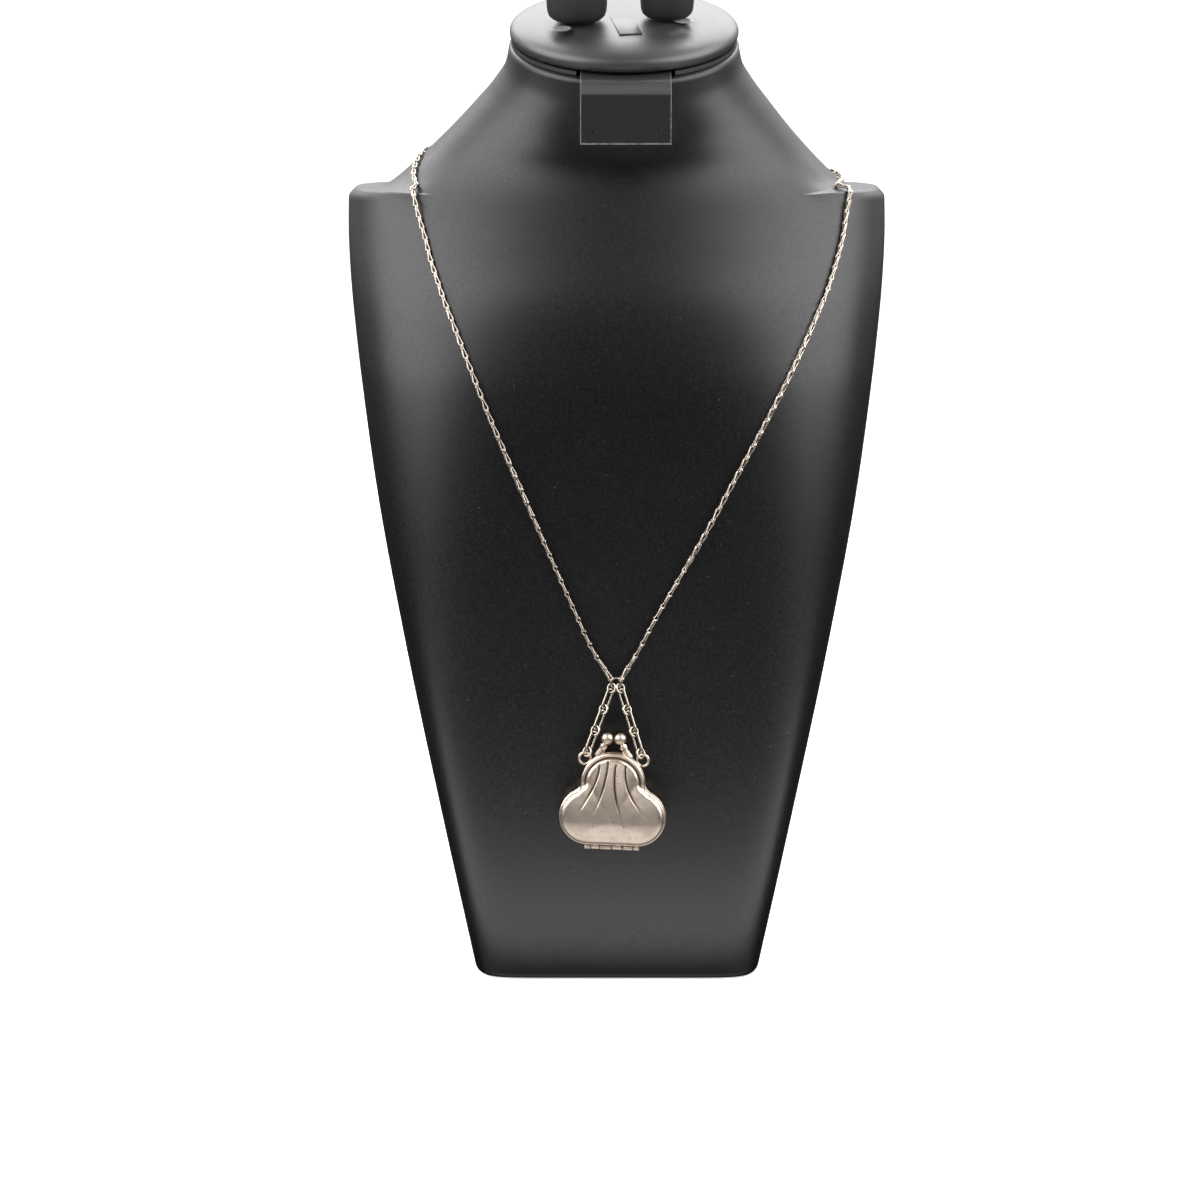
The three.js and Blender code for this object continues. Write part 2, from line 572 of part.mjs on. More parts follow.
function buildPurse() {
  const chest = sectionAt(purse.height);
  purseGroup.position.set(purse.across, chest.front - purse.standOff, purse.height);
  purseGroup.rotation.set(purse.lean * degrees, purse.tilt * degrees, purse.yaw * degrees, 'XZY');
  part.add(purseGroup);
  purseGroup.updateMatrixWorld(true);
  addPiece(purseGroup, 'purse_back', purseHalf('back'), 'silver');
  addPiece(purseGroup, 'purse_front', purseHalf('front'), 'silver');
  addPiece(purseGroup, 'hinge_pin', hingeRod(hinge.pinRadius, 0), 'silver');
}

// Round link stretched along X to a length inside, from a ring of the given half width
function linkGeometry(insideLength, halfWidth) {
  const geometry = new THREE.TorusGeometry(halfWidth, link.wire, wireSides, link.sides)
    .rotateZ(Math.PI / link.sides);
  const stretch = insideLength / 2 + link.wire - halfWidth * Math.cos(Math.PI / link.sides);
  const places = geometry.attributes.position;
  for (let i = 0; i < places.count; i += 1) {
    places.setX(i, places.getX(i) + Math.sign(places.getX(i)) * stretch);
  }
  return geometry;
}

function buildHandle(side, hand) {
  const ringDepth = sectionAt(ring.height).front - ring.standOff;
  const ringMiddle = new THREE.Vector3(ring.across, ringDepth, ring.height);
  const earMiddle = purseGroup.localToWorld(new THREE.Vector3(hand * ear.across, ear.depth, ear.height));
  const hold = ring.holdTurn * degrees;
  const start = ringMiddle.clone()
    .add(new THREE.Vector3(hand * Math.sin(hold), 0, -Math.cos(hold)).multiplyScalar(ring.radius));
  const end = earMiddle.clone().addScaledVector(start.clone().sub(earMiddle).normalize(), ear.radius);
  const run = end.clone().sub(start);
  const insides = Array.from({ length: link.count }, (_, i) => (i % 2 ? link.longInside : link.smallInside));
  const slackTotal = insides.reduce((sum, value) => sum + value, 0) - ring.wire - ear.wire - run.length();
  const slack = slackTotal / (link.count + 1);
  const lay = new THREE.Matrix4().makeBasis(
    run.clone().normalize(),
    new THREE.Vector3(0, 1, 0).cross(run).normalize(),
    new THREE.Vector3(0, 1, 0).cross(run).normalize().cross(run).normalize().negate(),
  );
  let along = insides[0] / 2 - ring.wire - slack;
  insides.forEach((inside, i) => {
    const small = i % 2 === 0;
    const halfWidth = small ? link.smallInside / 2 + link.wire : link.longHalfWidth;
    const piece = addPiece(part, `handle_${side}_link_${i + 1}`, linkGeometry(inside, halfWidth), 'silver');
    piece.quaternion.setFromRotationMatrix(lay);
    piece.rotateX((small ? linkTurn.small : linkTurn.long) * degrees);
    piece.position.copy(start).addScaledVector(run.clone().normalize(), along);
    if (i + 1 < insides.length) along += (inside + insides[i + 1]) / 2 - slack;
  });
}

function buildHandles() {
  const hoop = new THREE.TorusGeometry(ring.radius, ring.wire, wireSides, roundSides);
  const jumpRing = addPiece(part, 'jump_ring', hoop, 'silver');
  jumpRing.rotation.x = Math.PI / 2;
  jumpRing.position.set(ring.across, sectionAt(ring.height).front - ring.standOff, ring.height);
  buildHandle('left', -1);
  buildHandle('right', 1);
}

buildStand();
buildNeckChain();
buildPurse();
buildHandles();

export default part;
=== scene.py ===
import json
import math
import bmesh
import bpy
import numpy as np
from mathutils import Matrix, Vector

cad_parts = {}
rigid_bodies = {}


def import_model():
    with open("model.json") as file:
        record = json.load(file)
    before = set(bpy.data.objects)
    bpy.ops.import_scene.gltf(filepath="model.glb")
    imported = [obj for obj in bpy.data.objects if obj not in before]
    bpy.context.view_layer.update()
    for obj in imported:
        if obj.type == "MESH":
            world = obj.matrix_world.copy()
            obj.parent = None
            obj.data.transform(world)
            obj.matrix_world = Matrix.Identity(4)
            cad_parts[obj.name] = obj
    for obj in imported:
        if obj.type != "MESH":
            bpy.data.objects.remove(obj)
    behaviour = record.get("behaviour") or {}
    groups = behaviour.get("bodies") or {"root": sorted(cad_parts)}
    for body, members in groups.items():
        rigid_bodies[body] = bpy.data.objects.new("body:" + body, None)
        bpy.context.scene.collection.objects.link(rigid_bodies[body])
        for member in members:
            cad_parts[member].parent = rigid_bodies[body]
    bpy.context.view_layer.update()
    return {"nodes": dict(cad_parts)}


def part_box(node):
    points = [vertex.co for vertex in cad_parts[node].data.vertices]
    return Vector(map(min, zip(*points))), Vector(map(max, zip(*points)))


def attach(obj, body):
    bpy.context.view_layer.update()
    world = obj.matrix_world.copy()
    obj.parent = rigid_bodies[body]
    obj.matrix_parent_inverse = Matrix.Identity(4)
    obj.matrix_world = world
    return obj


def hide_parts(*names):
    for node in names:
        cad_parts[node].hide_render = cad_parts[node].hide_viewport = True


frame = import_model()
scene = bpy.context.scene
mm = 0.001
standBody = "necklace_and_bust"
lidBody = "locket_front"
print("frame loaded,", len(frame["nodes"]), "nodes")


# camera, as the photograph was taken
view = {"place": (-6, -1050, 346), "down": 11.88, "lens": 90.2, "sensor": 36.0}
eye = bpy.data.cameras.new("eye")
eye.lens = view["lens"]
eye.sensor_width = view["sensor"]
eye.clip_start = 0.01
eye.clip_end = 50
eyeObject = bpy.data.objects.new("eye", eye)
eyeObject.location = Vector(view["place"]) * mm
eyeObject.rotation_euler = (math.radians(90 - view["down"]), 0, 0)
scene.collection.objects.link(eyeObject)
scene.camera = eyeObject
print("camera placed")


# small helpers for meshes
def easeThrough(places, values, at):  # smooth curve through table rows, never past them
    steps = np.diff(values) / np.diff(places)
    slopes = np.zeros(len(places))
    product = steps[:-1] * steps[1:]
    total = np.where(product > 0, steps[:-1] + steps[1:], 1.0)
    slopes[1:-1] = np.where(product > 0, 2 * product / total, 0.0)
    slopes[0], slopes[-1] = steps[0], steps[-1]
    at = np.clip(at, places[0], places[-1])
    k = np.clip(np.searchsorted(places, at, side="right") - 1, 0, len(places) - 2)
    width = places[k + 1] - places[k]
    t = (at - places[k]) / width
    start = values[k] * (1 + 2 * t) * (1 - t) ** 2 + slopes[k] * width * t * (1 - t) ** 2
    return start + values[k + 1] * t * t * (3 - 2 * t) + slopes[k + 1] * width * t * t * (t - 1)


def smoothStep(value, low, high):
    t = np.clip((value - low) / (high - low), 0, 1)
    return t * t * (3 - 2 * t)


def ringSkin(rings, patina=None):  # a grid rolled up through rings of points
    rows, count = rings.shape[:2]
    bm = bmesh.new()
    bmesh.ops.create_grid(bm, x_segments=count, y_segments=rows - 1, size=1.0)
    tone = bm.verts.layers.float.new("patina")
    for vert in bm.verts:
        u = round((vert.co.x + 1) / 2 * count) % count
        v = round((vert.co.y + 1) / 2 * (rows - 1))
        vert.co = rings[v, u] * mm
        if patina is not None:
            vert[tone] = patina[v, u]
    bmesh.ops.remove_doubles(bm, verts=bm.verts, dist=2e-7)
    bmesh.ops.recalc_face_normals(bm, faces=bm.faces)
    return bm


def turned(profile, steps):  # profile of (radius, height) spun round Z
    bm = bmesh.new()
    bm.verts.layers.float.new("patina")
    verts = [bm.verts.new((radius * mm, 0, height * mm)) for radius, height in profile]
    edges = [bm.edges.new(pair) for pair in zip(verts, verts[1:])]
    bmesh.ops.spin(bm, geom=verts + edges, cent=(0, 0, 0), axis=(0, 0, 1), angle=2 * math.pi,
                   steps=steps, use_merge=True, use_duplicate=False)
    bmesh.ops.remove_doubles(bm, verts=bm.verts, dist=2e-7)
    bmesh.ops.recalc_face_normals(bm, faces=bm.faces)
    return bm


def wire(points, radius, roundness, closed=True):  # round wire along points, as a mesh
    curve = bpy.data.curves.new("wire", "CURVE")
    curve.dimensions = "3D"
    curve.bevel_depth = radius * mm
    curve.bevel_resolution = roundness
    curve.use_fill_caps = not closed
    spline = curve.splines.new("POLY")
    spline.points.add(len(points) - 1)
    placed = np.column_stack([np.asarray(points) * mm, np.ones(len(points))])
    spline.points.foreach_set("co", placed.ravel())
    spline.use_cyclic_u = closed
    holder = bpy.data.objects.new("wire", curve)
    scene.collection.objects.link(holder)
    graph = bpy.context.evaluated_depsgraph_get()
    mesh = bpy.data.meshes.new_from_object(holder.evaluated_get(graph))
    bpy.data.objects.remove(holder)
    bpy.data.curves.remove(curve)
    bm = bmesh.new()
    bm.verts.layers.float.new("patina")
    bm.from_mesh(mesh)
    bpy.data.meshes.remove(mesh)
    bmesh.ops.remove_doubles(bm, verts=bm.verts, dist=2e-7)
    bmesh.ops.recalc_face_normals(bm, faces=bm.faces)
    return bm


def softBox(size, bevel):  # box with rounded edges, its middle at the origin
    bm = bmesh.new()
    bm.verts.layers.float.new("patina")
    bmesh.ops.create_cube(bm, size=1.0)
    bmesh.ops.scale(bm, vec=Vector(size) * mm, verts=bm.verts)
    bmesh.ops.bevel(bm, geom=bm.edges[:], offset=bevel * mm, affect="EDGES", segments=2, profile=0.5,
                    material=-1)
    return bm


def placeMesh(bm, matrix):
    bmesh.ops.transform(bm, matrix=matrix, verts=bm.verts)
    return bm


def shift(x, y, z):
    return Matrix.Translation(Vector((x, y, z)) * mm)


def spun(degrees, axis):
    return Matrix.Rotation(math.radians(degrees), 4, axis)


def joined(parts):  # several meshes as one
    whole = bmesh.new()
    whole.verts.layers.float.new("patina")
    for part in parts:
        mesh = bpy.data.meshes.new("part")
        part.to_mesh(mesh)
        part.free()
        whole.from_mesh(mesh)
        bpy.data.meshes.remove(mesh)
    return whole


def addPiece(name, bm, finish, body, nodes=(), sharp=38):
    mesh = bpy.data.meshes.new(name)
    bm.to_mesh(mesh)
    bm.free()
    mesh.materials.append(finish)
    mesh.shade_smooth()
    mesh.set_sharp_from_angle(angle=math.radians(sharp))
    piece = bpy.data.objects.new(name, mesh)
    scene.collection.objects.link(piece)
    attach(piece, body)
    if nodes:
        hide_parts(*nodes)
    return piece


# finishes
def startFinish(name):
    finish = bpy.data.materials.new(name)
    finish.use_nodes = True
    nodes = finish.node_tree.nodes
    place = nodes.new("ShaderNodeTexCoord").outputs["Object"]
    return finish, nodes, finish.node_tree.links, nodes["Principled BSDF"], place


def noise(nodes, links, place, scale, detail=2.0, rough=0.5):
    node = nodes.new("ShaderNodeTexNoise")
    node.inputs["Scale"].default_value = scale
    node.inputs["Detail"].default_value = detail
    node.inputs["Roughness"].default_value = rough
    links.new(place, node.inputs["Vector"])
    return node.outputs["Fac"]


def ranged(nodes, links, value, low, high, toLow, toHigh):
    node = nodes.new("ShaderNodeMapRange")
    node.inputs["From Min"].default_value = low
    node.inputs["From Max"].default_value = high
    node.inputs["To Min"].default_value = toLow
    node.inputs["To Max"].default_value = toHigh
    links.new(value, node.inputs["Value"])
    return node.outputs["Result"]


def combined(nodes, links, kind, first, second):
    node = nodes.new("ShaderNodeMath")
    node.operation = kind
    node.use_clamp = kind in ("ADD", "MAXIMUM")
    for socket, value in zip(node.inputs, (first, second)):
        if isinstance(value, (int, float)):
            socket.default_value = value
        else:
            links.new(value, socket)
    return node.outputs[0]


def summed(nodes, links, first, second):  # a sum that may pass 1
    node = nodes.new("ShaderNodeMath")
    links.new(first, node.inputs[0])
    links.new(second, node.inputs[1])
    return node.outputs[0]


def blended(nodes, links, share, first, second):  # colour mix by a share
    node = nodes.new("ShaderNodeMix")
    node.data_type = "RGBA"
    links.new(share, node.inputs["Factor"])
    for socket, value in ((node.inputs[6], first), (node.inputs[7], second)):
        if isinstance(value, tuple):
            socket.default_value = (*value, 1)
        else:
            links.new(value, socket)
    return node.outputs[2]


def bumped(nodes, links, shader, height, strength, distance):
    node = nodes.new("ShaderNodeBump")
    node.inputs["Strength"].default_value = strength
    node.inputs["Distance"].default_value = distance
    links.new(height, node.inputs["Height"])
    links.new(node.outputs["Normal"], shader.inputs["Normal"])


leather = {"dark": (0.0007, 0.0007, 0.0008), "light": (0.0012, 0.0012, 0.0013), "dust": (0.03, 0.03, 0.03),
           "cloud": 32, "speck": 1150, "grain": 1300, "wrinkle": 900, "bump": (0.08, 0.0002),
           "rough": (0.37, 0.45), "gloss": 0.5}
plastic = {"cloud": 60, "bump": (0.16, 0.00012)}


def leatheretteFinish():
    finish, nodes, links, shader, place = startFinish("blackLeatherette")
    tone = ranged(nodes, links, noise(nodes, links, place, leather["cloud"], 4), 0.35, 0.65, 0, 1)
    speck = ranged(nodes, links, noise(nodes, links, place, leather["speck"], 0), 0.85, 0.88, 0, 1)
    colour = blended(nodes, links, tone, leather["dark"], leather["light"])
    links.new(blended(nodes, links, speck, colour, leather["dust"]), shader.inputs["Base Color"])
    cells = nodes.new("ShaderNodeTexVoronoi")
    cells.feature = "SMOOTH_F1"
    cells.inputs["Scale"].default_value = leather["grain"]
    cells.inputs["Smoothness"].default_value = 0.6
    links.new(place, cells.inputs["Vector"])
    fine = noise(nodes, links, place, leather["wrinkle"], 3, 0.5)
    height = combined(nodes, links, "MULTIPLY_ADD", cells.outputs["Distance"], 0.6)
    links.new(fine, height.node.inputs[2])
    bumped(nodes, links, shader, height, *leather["bump"])
    links.new(ranged(nodes, links, fine, 0.3, 0.7, *leather["rough"]), shader.inputs["Roughness"])
    shader.inputs["Specular IOR Level"].default_value = leather["gloss"]
    return finish


def plasticFinish(name, dark, light, roughLow, roughHigh, grain, gloss=0.5):
    finish, nodes, links, shader, place = startFinish(name)
    tone = ranged(nodes, links, noise(nodes, links, place, plastic["cloud"], 4), 0.35, 0.65, 0, 1)
    links.new(blended(nodes, links, tone, dark, light), shader.inputs["Base Color"])
    fine = noise(nodes, links, place, grain, 3, 0.6)
    bumped(nodes, links, shader, fine, *plastic["bump"])
    links.new(ranged(nodes, links, fine, 0.3, 0.7, roughLow, roughHigh), shader.inputs["Roughness"])
    shader.inputs["Specular IOR Level"].default_value = gloss
    return finish


# band is a painted highlight over the plate's bend, fading towards the top; worn is the paler colour of the
# sides and foot, partly painted edge highlight and partly wear
plate = {"middle": 2.8, "edge": (15.1, 15.5), "foot": (287.5, 287.15), "bend": (303.3, 304.2),
         "fade": (305.8, 308), "faded": 0.3, "grain": 1800, "rough": (0.34, 0.42),
         "dark": (0.011, 0.011, 0.0115), "band": (0.05, 0.05, 0.052), "worn": (0.13, 0.13, 0.135)}


def plateFinish():  # black plate, with a painted highlight over its bend, and paler along its sides and foot: partly painted highlight where the edges catch light, partly wear
    finish, nodes, links, shader, place = startFinish("wornPlatePlastic")
    apart = nodes.new("ShaderNodeSeparateXYZ")
    links.new(place, apart.inputs["Vector"])
    x, _, z = apart.outputs
    edge, foot, bend, fade = ([at * mm for at in plate[key]] for key in ("edge", "foot", "bend", "fade"))
    offset = combined(nodes, links, "SUBTRACT", x, plate["middle"] * mm)
    sides = ranged(nodes, links, combined(nodes, links, "ABSOLUTE", offset, 0), *edge, 0, 1)
    foot = ranged(nodes, links, z, *foot, 0, 1)
    # painted highlight over the bend, fading towards the top
    band = ranged(nodes, links, z, *bend, 0, 1)
    band = combined(nodes, links, "MULTIPLY", band, ranged(nodes, links, z, *fade, 1, plate["faded"]))
    fine = noise(nodes, links, place, plate["grain"], 3, 0.6)
    # paler along the sides and foot: partly painted edge highlight, partly wear, patchy by noise
    edgeHighlightAndWear = combined(nodes, links, "MULTIPLY", combined(nodes, links, "MAXIMUM", sides, foot),
                    ranged(nodes, links, noise(nodes, links, place, 500, 2), 0.3, 0.55, 0.35, 1))
    colour = blended(nodes, links, band, plate["dark"], plate["band"])
    links.new(blended(nodes, links, edgeHighlightAndWear, colour, plate["worn"]), shader.inputs["Base Color"])
    bumped(nodes, links, shader, fine, *plastic["bump"])
    links.new(ranged(nodes, links, fine, 0.3, 0.7, *plate["rough"]), shader.inputs["Roughness"])
    return finish


# tarnish is the dark colour that both patina and painted shade blend towards
silver = {"chain": ((0.66, 0.59, 0.50), (0.55, 0.485, 0.405)), "chainRough": (0.20, 0.32),
          "purse": ((0.92, 0.775, 0.65), (0.80, 0.67, 0.56)), "purseRough": (0.31, 0.40),
          "tarnishAndPaintedShade": (0.075, 0.058, 0.045), "bump": (0.16, 0.00006), "wornRough": 0.25}


def silverPatinaAndShadeFinish(name, shades, rough, pits):
    finish, nodes, links, shader, place = startFinish(name)
    shader.inputs["Metallic"].default_value = 1.0
    cloudy = ranged(nodes, links, noise(nodes, links, place, 210, 5, 0.6), 0.34, 0.66, 0, 1)
    speck = ranged(nodes, links, noise(nodes, links, place, 1500, 2), 0.66, 0.74, 0, pits)
    # the patina attribute holds patina together with painted shade: the face's dark band, the folds, the
    # links' insides and the posts' feet
    patina = nodes.new("ShaderNodeAttribute")
    patina.attribute_name = "patina"
    colour = blended(nodes, links, cloudy, *shades)
    dark = combined(nodes, links, "MAXIMUM", patina.outputs["Fac"], speck)
    links.new(blended(nodes, links, dark, colour, silver["tarnishAndPaintedShade"]), shader.inputs["Base Color"])
    fine = noise(nodes, links, place, 2600, 3, 0.6)
    scratch = combined(nodes, links, "SUBTRACT", fine, combined(nodes, links, "MULTIPLY", speck, 0.6))
    bumped(nodes, links, shader, scratch, *silver["bump"])
    worn = combined(nodes, links, "MULTIPLY_ADD", dark, silver["wornRough"])
    links.new(ranged(nodes, links, cloudy, 0, 1, *rough), worn.node.inputs[2])
    links.new(worn, shader.inputs["Roughness"])
    return finish


blackLeatherette = leatheretteFinish()
capPlastic = plasticFinish("blackCapPlastic", (0.016, 0.016, 0.0168), (0.021, 0.021, 0.022),
                           0.40, 0.48, 1800, 0.9)
gripRubber = plasticFinish("darkGripRubber", (0.010, 0.010, 0.0105), (0.015, 0.015, 0.0155),
                           0.5, 0.62, 2400)
# the tongues are painted pale: a lighter copy of the black grip plastic, a painted highlight where the flat
# tongues face up
tongueFinishPaintedPale = plasticFinish("greyTonguePlastic", (0.15, 0.155, 0.165), (0.2, 0.205, 0.215),
                              0.3, 0.4, 1800)
platePlastic = plateFinish()
purseSilver = silverPatinaAndShadeFinish("wornPurseSilver", silver["purse"], silver["purseRough"], 0.8)
chainSilver = silverPatinaAndShadeFinish("wornChainSilver", silver["chain"], silver["chainRough"], 0.35)
print("finishes made")


# bust: level sections of the chest and neck, in millimetres
bust = {
    "chest": [  # height, half width, front, back, widest depth, squareness in front and at the rear
        (0, 50, -49, 60, 4, 10, 5), (59.7, 63.4, -46.4, 64, 8, 7, 5),
        (114.6, 75.5, -43.1, 68, 12.5, 4.8, 5), (164.3, 85.2, -40.2, 72, 17.5, 3.5, 4.5),
        (204, 91.2, -36.5, 75, 23.5, 2.75, 4), (220, 93.3, -33.2, 76.5, 27, 2.48, 3.7),
        (233.8, 94.9, -28.8, 78, 30.5, 2.28, 3.5), (245, 95.9, -23, 79, 34, 2.12, 3.3),
        (254.6, 96.5, -16.5, 80, 38, 2.02, 3.2), (265.5, 96.7, -9, 81, 43.5, 2, 3),
        (268.6, 94.3, -7, 81.5, 45, 2, 3)],
    "neck": [  # the same, and how far the section tips forward, in degrees
        (268.9, 84.2, -6.9, 81.5, 45.3, 2.15, 2.8, 0), (271.6, 80.1, -5.4, 81.6, 45, 2.14, 2.7, 0.8),
        (276.8, 74.1, -3.8, 81.4, 44, 2.12, 2.5, 2.5), (284.1, 66.4, -3, 80.6, 42.3, 2.08, 2.3, 5.5),
        (291.4, 59.3, -3.4, 79.4, 40, 2.04, 2.15, 8.5), (298.6, 52.8, -4.5, 77.9, 37.8, 2, 2.05, 11.5),
        (305.8, 46.6, -6, 76.2, 35.5, 2, 2, 14), (313, 42, -7.4, 74.4, 33.2, 2, 2, 16),
        (320, 40.5, -8.5, 72.5, 32, 2, 2, 17)],
    "lean": 2.5, "leanFrom": 266, "leanTo": 312, "ledge": (268.6, 268.9),
    "ledgeSteps": (0.12, 0.3, 0.5, 0.7, 0.88, 1.0), "soft": (255, 284), "softAcross": (68, 82),
    "sides": 240, "footRise": 2.0, "footInset": 1.5, "topInset": 0.8}
chestTable = np.array(bust["chest"], float)
neckTable = np.array(bust["neck"], float)


def bustSection(height):
    low = [easeThrough(chestTable[:, 0], chestTable[:, k], height) for k in range(1, 7)]
    low.append(np.zeros_like(height))  # the chest's sections don't tip
    high = [easeThrough(neckTable[:, 0], neckTable[:, k], height) for k in range(1, 8)]
    share = np.clip((height - bust["ledge"][0]) / (bust["ledge"][1] - bust["ledge"][0]), 0, 1)
    return [a + (b - a) * share for a, b in zip(low, high)]


def bustPoint(turn, height, inset=0.0):
    turn, height = np.broadcast_arrays(np.asarray(turn, float), np.asarray(height, float))
    halfWidth, front, back, middle, square, rear, tip = bustSection(height)
    across, along = np.cos(turn), np.sin(turn)
    power = np.where(along < 0, square, rear)
    reach = np.where(along < 0, middle - front, back - middle) - inset
    spread = np.abs(across / (halfWidth - inset)) ** power + np.abs(along / reach) ** power
    radius = spread ** (-1 / power)
    depth = radius * along
    lean = bust["lean"] * smoothStep(height, bust["leanFrom"], bust["leanTo"])
    return np.stack([radius * across + lean, middle + depth, height + depth * np.tan(np.radians(tip))], -1)


def softLedge(turns, height):  # the shoulders' ledge fades out across the front and the back
    low, high = bust["soft"]
    point = bustPoint(turns, height)
    if not low < height < high:
        return point
    ends = [bustPoint(turns, level) for level in (low, high)]
    slopes = [(bustPoint(turns, level + 0.5) - bustPoint(turns, level - 0.5)) * (high - low)
              for level in (low, high)]
    t = (height - low) / (high - low)
    even = ends[0] * (1 + 2 * t) * (1 - t) ** 2 + slopes[0] * t * (1 - t) ** 2
    even = even + ends[1] * t * t * (3 - 2 * t) + slopes[1] * t * t * (t - 1)
    kept = smoothStep(np.abs(bustPoint(turns, bust["ledge"][0])[:, 0]), *bust["softAcross"])[:, None]
    return even + (point - even) * kept


def buildBust():
    turns = np.arange(bust["sides"]) / bust["sides"] * 2 * math.pi
    top = neckTable[-1]
    low, high = bust["ledge"]
    chestPart = [np.linspace(bust["footRise"], low - 13, 78), np.linspace(low - 11.5, low, 14)]
    ledgePart = low + (high - low) * np.array(bust["ledgeSteps"])
    neckPart = np.linspace(high + 0.4, top[0] - bust["topInset"], 46)
    heights = np.concatenate([*chestPart, ledgePart, neckPart])
    rings = [np.tile((0, chestTable[0, 4], 0), (bust["sides"], 1))]
    for share in (0, 0.3, 0.6, 0.85):  # rounded lower edge
        angle = share * math.pi / 2
        inset = bust["footInset"] * (1 - math.sin(angle))
        rings.append(bustPoint(turns, bust["footRise"] * (1 - math.cos(angle)), inset))
    rings += [softLedge(turns, height) for height in heights]
    rings.append(bustPoint(turns, top[0], bust["topInset"]))
    rings.append(np.tile((bust["lean"], top[4], top[0]), (bust["sides"], 1)))
    skin = ringSkin(np.array(rings))
    addPiece("bust_leatherette", skin, blackLeatherette, standBody, ["bust_body"], 60)


buildBust()
print("bust built")


# top of the neck: collar, cap, earring plate and two grips, all tipped forward with the neck
head = shift(bust["lean"], neckTable[-1, 4], neckTable[-1, 0]) @ spun(neckTable[-1, 7], "X")
cap = {"foot": 2.0, "steps": 160, "profile": [
    (0, 0), (38.6, 0), (39.7, 0.45), (40.25, 1.3), (40.45, 2.3), (40.4, 3.2), (40.0, 4.05), (39.2, 4.85),
    (37.8, 5.55), (35.5, 6.2), (32, 6.7), (29.2, 6.9), (27.4, 7.05), (26.2, 7.3), (25.2, 7.68),
    (24.3, 8.02), (23.2, 8.28), (21.5, 8.42), (15, 8.47), (0, 8.5)],
    "tab": (8, 20, 0.6), "tabAt": (0.6, -13, 8.5), "tabTurn": 9, "softAbove": 4,
    "soft": [(0, 8.5), (15, 8.5), (24, 8.3), (30, 7.85), (34, 7.1), (37, 6.1), (39.2, 4.85), (40, 4.05)],
    "softSpan": (0.72, 0.93)}
leaf = {"size": (3.7, 2.7, 0.5), "rows": [("left", -22, -18.3, 9.1, 22), ("right", 20.6, -9.6, 9.1, -20)]}


def buildCap():
    dome = turned(cap["profile"], cap["steps"])
    soft = np.array(cap["soft"])
    for vert in dome.verts:  # at the front the raised middle runs out into the slope
        away = math.hypot(vert.co.x, vert.co.y) / mm
        if vert.co.z > cap["softAbove"] * mm and away > 1:
            share = float(smoothStep(-vert.co.y / mm / away, *cap["softSpan"]))
            vert.co.z += (float(np.interp(away, soft[:, 0], soft[:, 1])) * mm - vert.co.z) * share
    tab = softBox(cap["tab"], 0.2)
    placeMesh(tab, shift(*cap["tabAt"]) @ spun(cap["tabTurn"], "Z"))
    whole = placeMesh(joined([dome, tab]), head @ shift(0, 0, cap["foot"]))
    addPiece("cap_moulding", whole, capPlastic, standBody, ["neck_cap"])
    for side, x, y, z, turn in leaf["rows"]:  # flat tongues at the feet of the grips
        tongue = bmesh.new()
        bmesh.ops.create_uvsphere(tongue, u_segments=28, v_segments=12, radius=mm)
        bmesh.ops.scale(tongue, vec=Vector(leaf["size"]), verts=tongue.verts)
        placeMesh(tongue, head @ shift(x, y, z + cap["foot"]) @ spun(turn, "Z"))
        addPiece("cap_tongue_" + side, tongue, tongueFinishPaintedPale, standBody)


grip = {"profile": [(0, 0), (6.6, 0), (8.2, 0.45), (9.3, 1.5), (9.8, 3), (10, 5.2), (10, 14), (9.8, 16.4),
                    (9.1, 18.4), (7.8, 20), (5.8, 21.1), (3, 21.65), (0, 21.8)], "deep": 0.8, "lift": 11.1,
        "rows": [("left", -16.6, -7.5, 1.06), ("right", 15, -4.5, 0.94)]}


def buildGrips():
    for side, x, y, wide in grip["rows"]:
        bm = turned(grip["profile"], 64)
        bmesh.ops.scale(bm, vec=(wide, wide * grip["deep"], 1), verts=bm.verts)
        placeMesh(bm, head @ shift(x, y, grip["lift"]))
        addPiece("cap_grip_" + side, bm, gripRubber, standBody, ["cap_pad_" + side])


def dressNode(node, finish, bevel):  # a solid that keeps its shape gets soft edges and a finish
    piece = frame["nodes"][node]
    piece.data.materials.clear()
    piece.data.materials.append(finish)
    weld = piece.modifiers.new("weld", "WELD")
    weld.merge_threshold = 1e-6
    soft = piece.modifiers.new("soft", "BEVEL")
    soft.width = bevel * mm
    soft.segments = 2
    soft.limit_method = "ANGLE"
    soft.angle_limit = math.radians(40)


buildCap()
buildGrips()
dressNode("neck_collar", capPlastic, 0.25)
dressNode("earring_plate", platePlastic, 0.2)
print("neck top built")


# neck chain: folded links, a fold at one end and two eyes at the other
chain = {"pitch": 4.85, "wire": 0.25, "leg": 0.25, "eye": 0.66, "foldHalf": 0.7, "eyeGap": 0.27,
         "offset": 1.03, "liftScale": 0.6, "sway": 6, "dark": 0.75, "darkHalf": 0.16, "hookPoints": 11,
         "straight": (1.3, 2.3, 3.2, 3.75, 4.15, 4.5)}
leftRoute = [  # turn round the bust in degrees, height, extra lift
    (-93.3, 108.5, 0), (-98.1, 115.4, 0), (-106.3, 134.1, 0), (-112.6, 150.6, 0), (-119.6, 171, 0),
    (-125.9, 191.1, 0), (-131.8, 210.8, 0), (-137.1, 226.3, 0), (-141.8, 237.7, 0), (-147, 249, 0),
    (-151.4, 260.7, 0), (-153.6, 267.2, 0.9), (-158.2, 270.4, 0.9), (-163, 273, 0), (-167.3, 275.6, 0),
    (-171.2, 277.7, 0), (-175, 279.6, 0), (-182, 280.6, 0), (-192, 280.4, 0), (-205, 280.2, 0),
    (-224, 280.6, 0), (-248, 282, 0), (-263, 282, 0)]
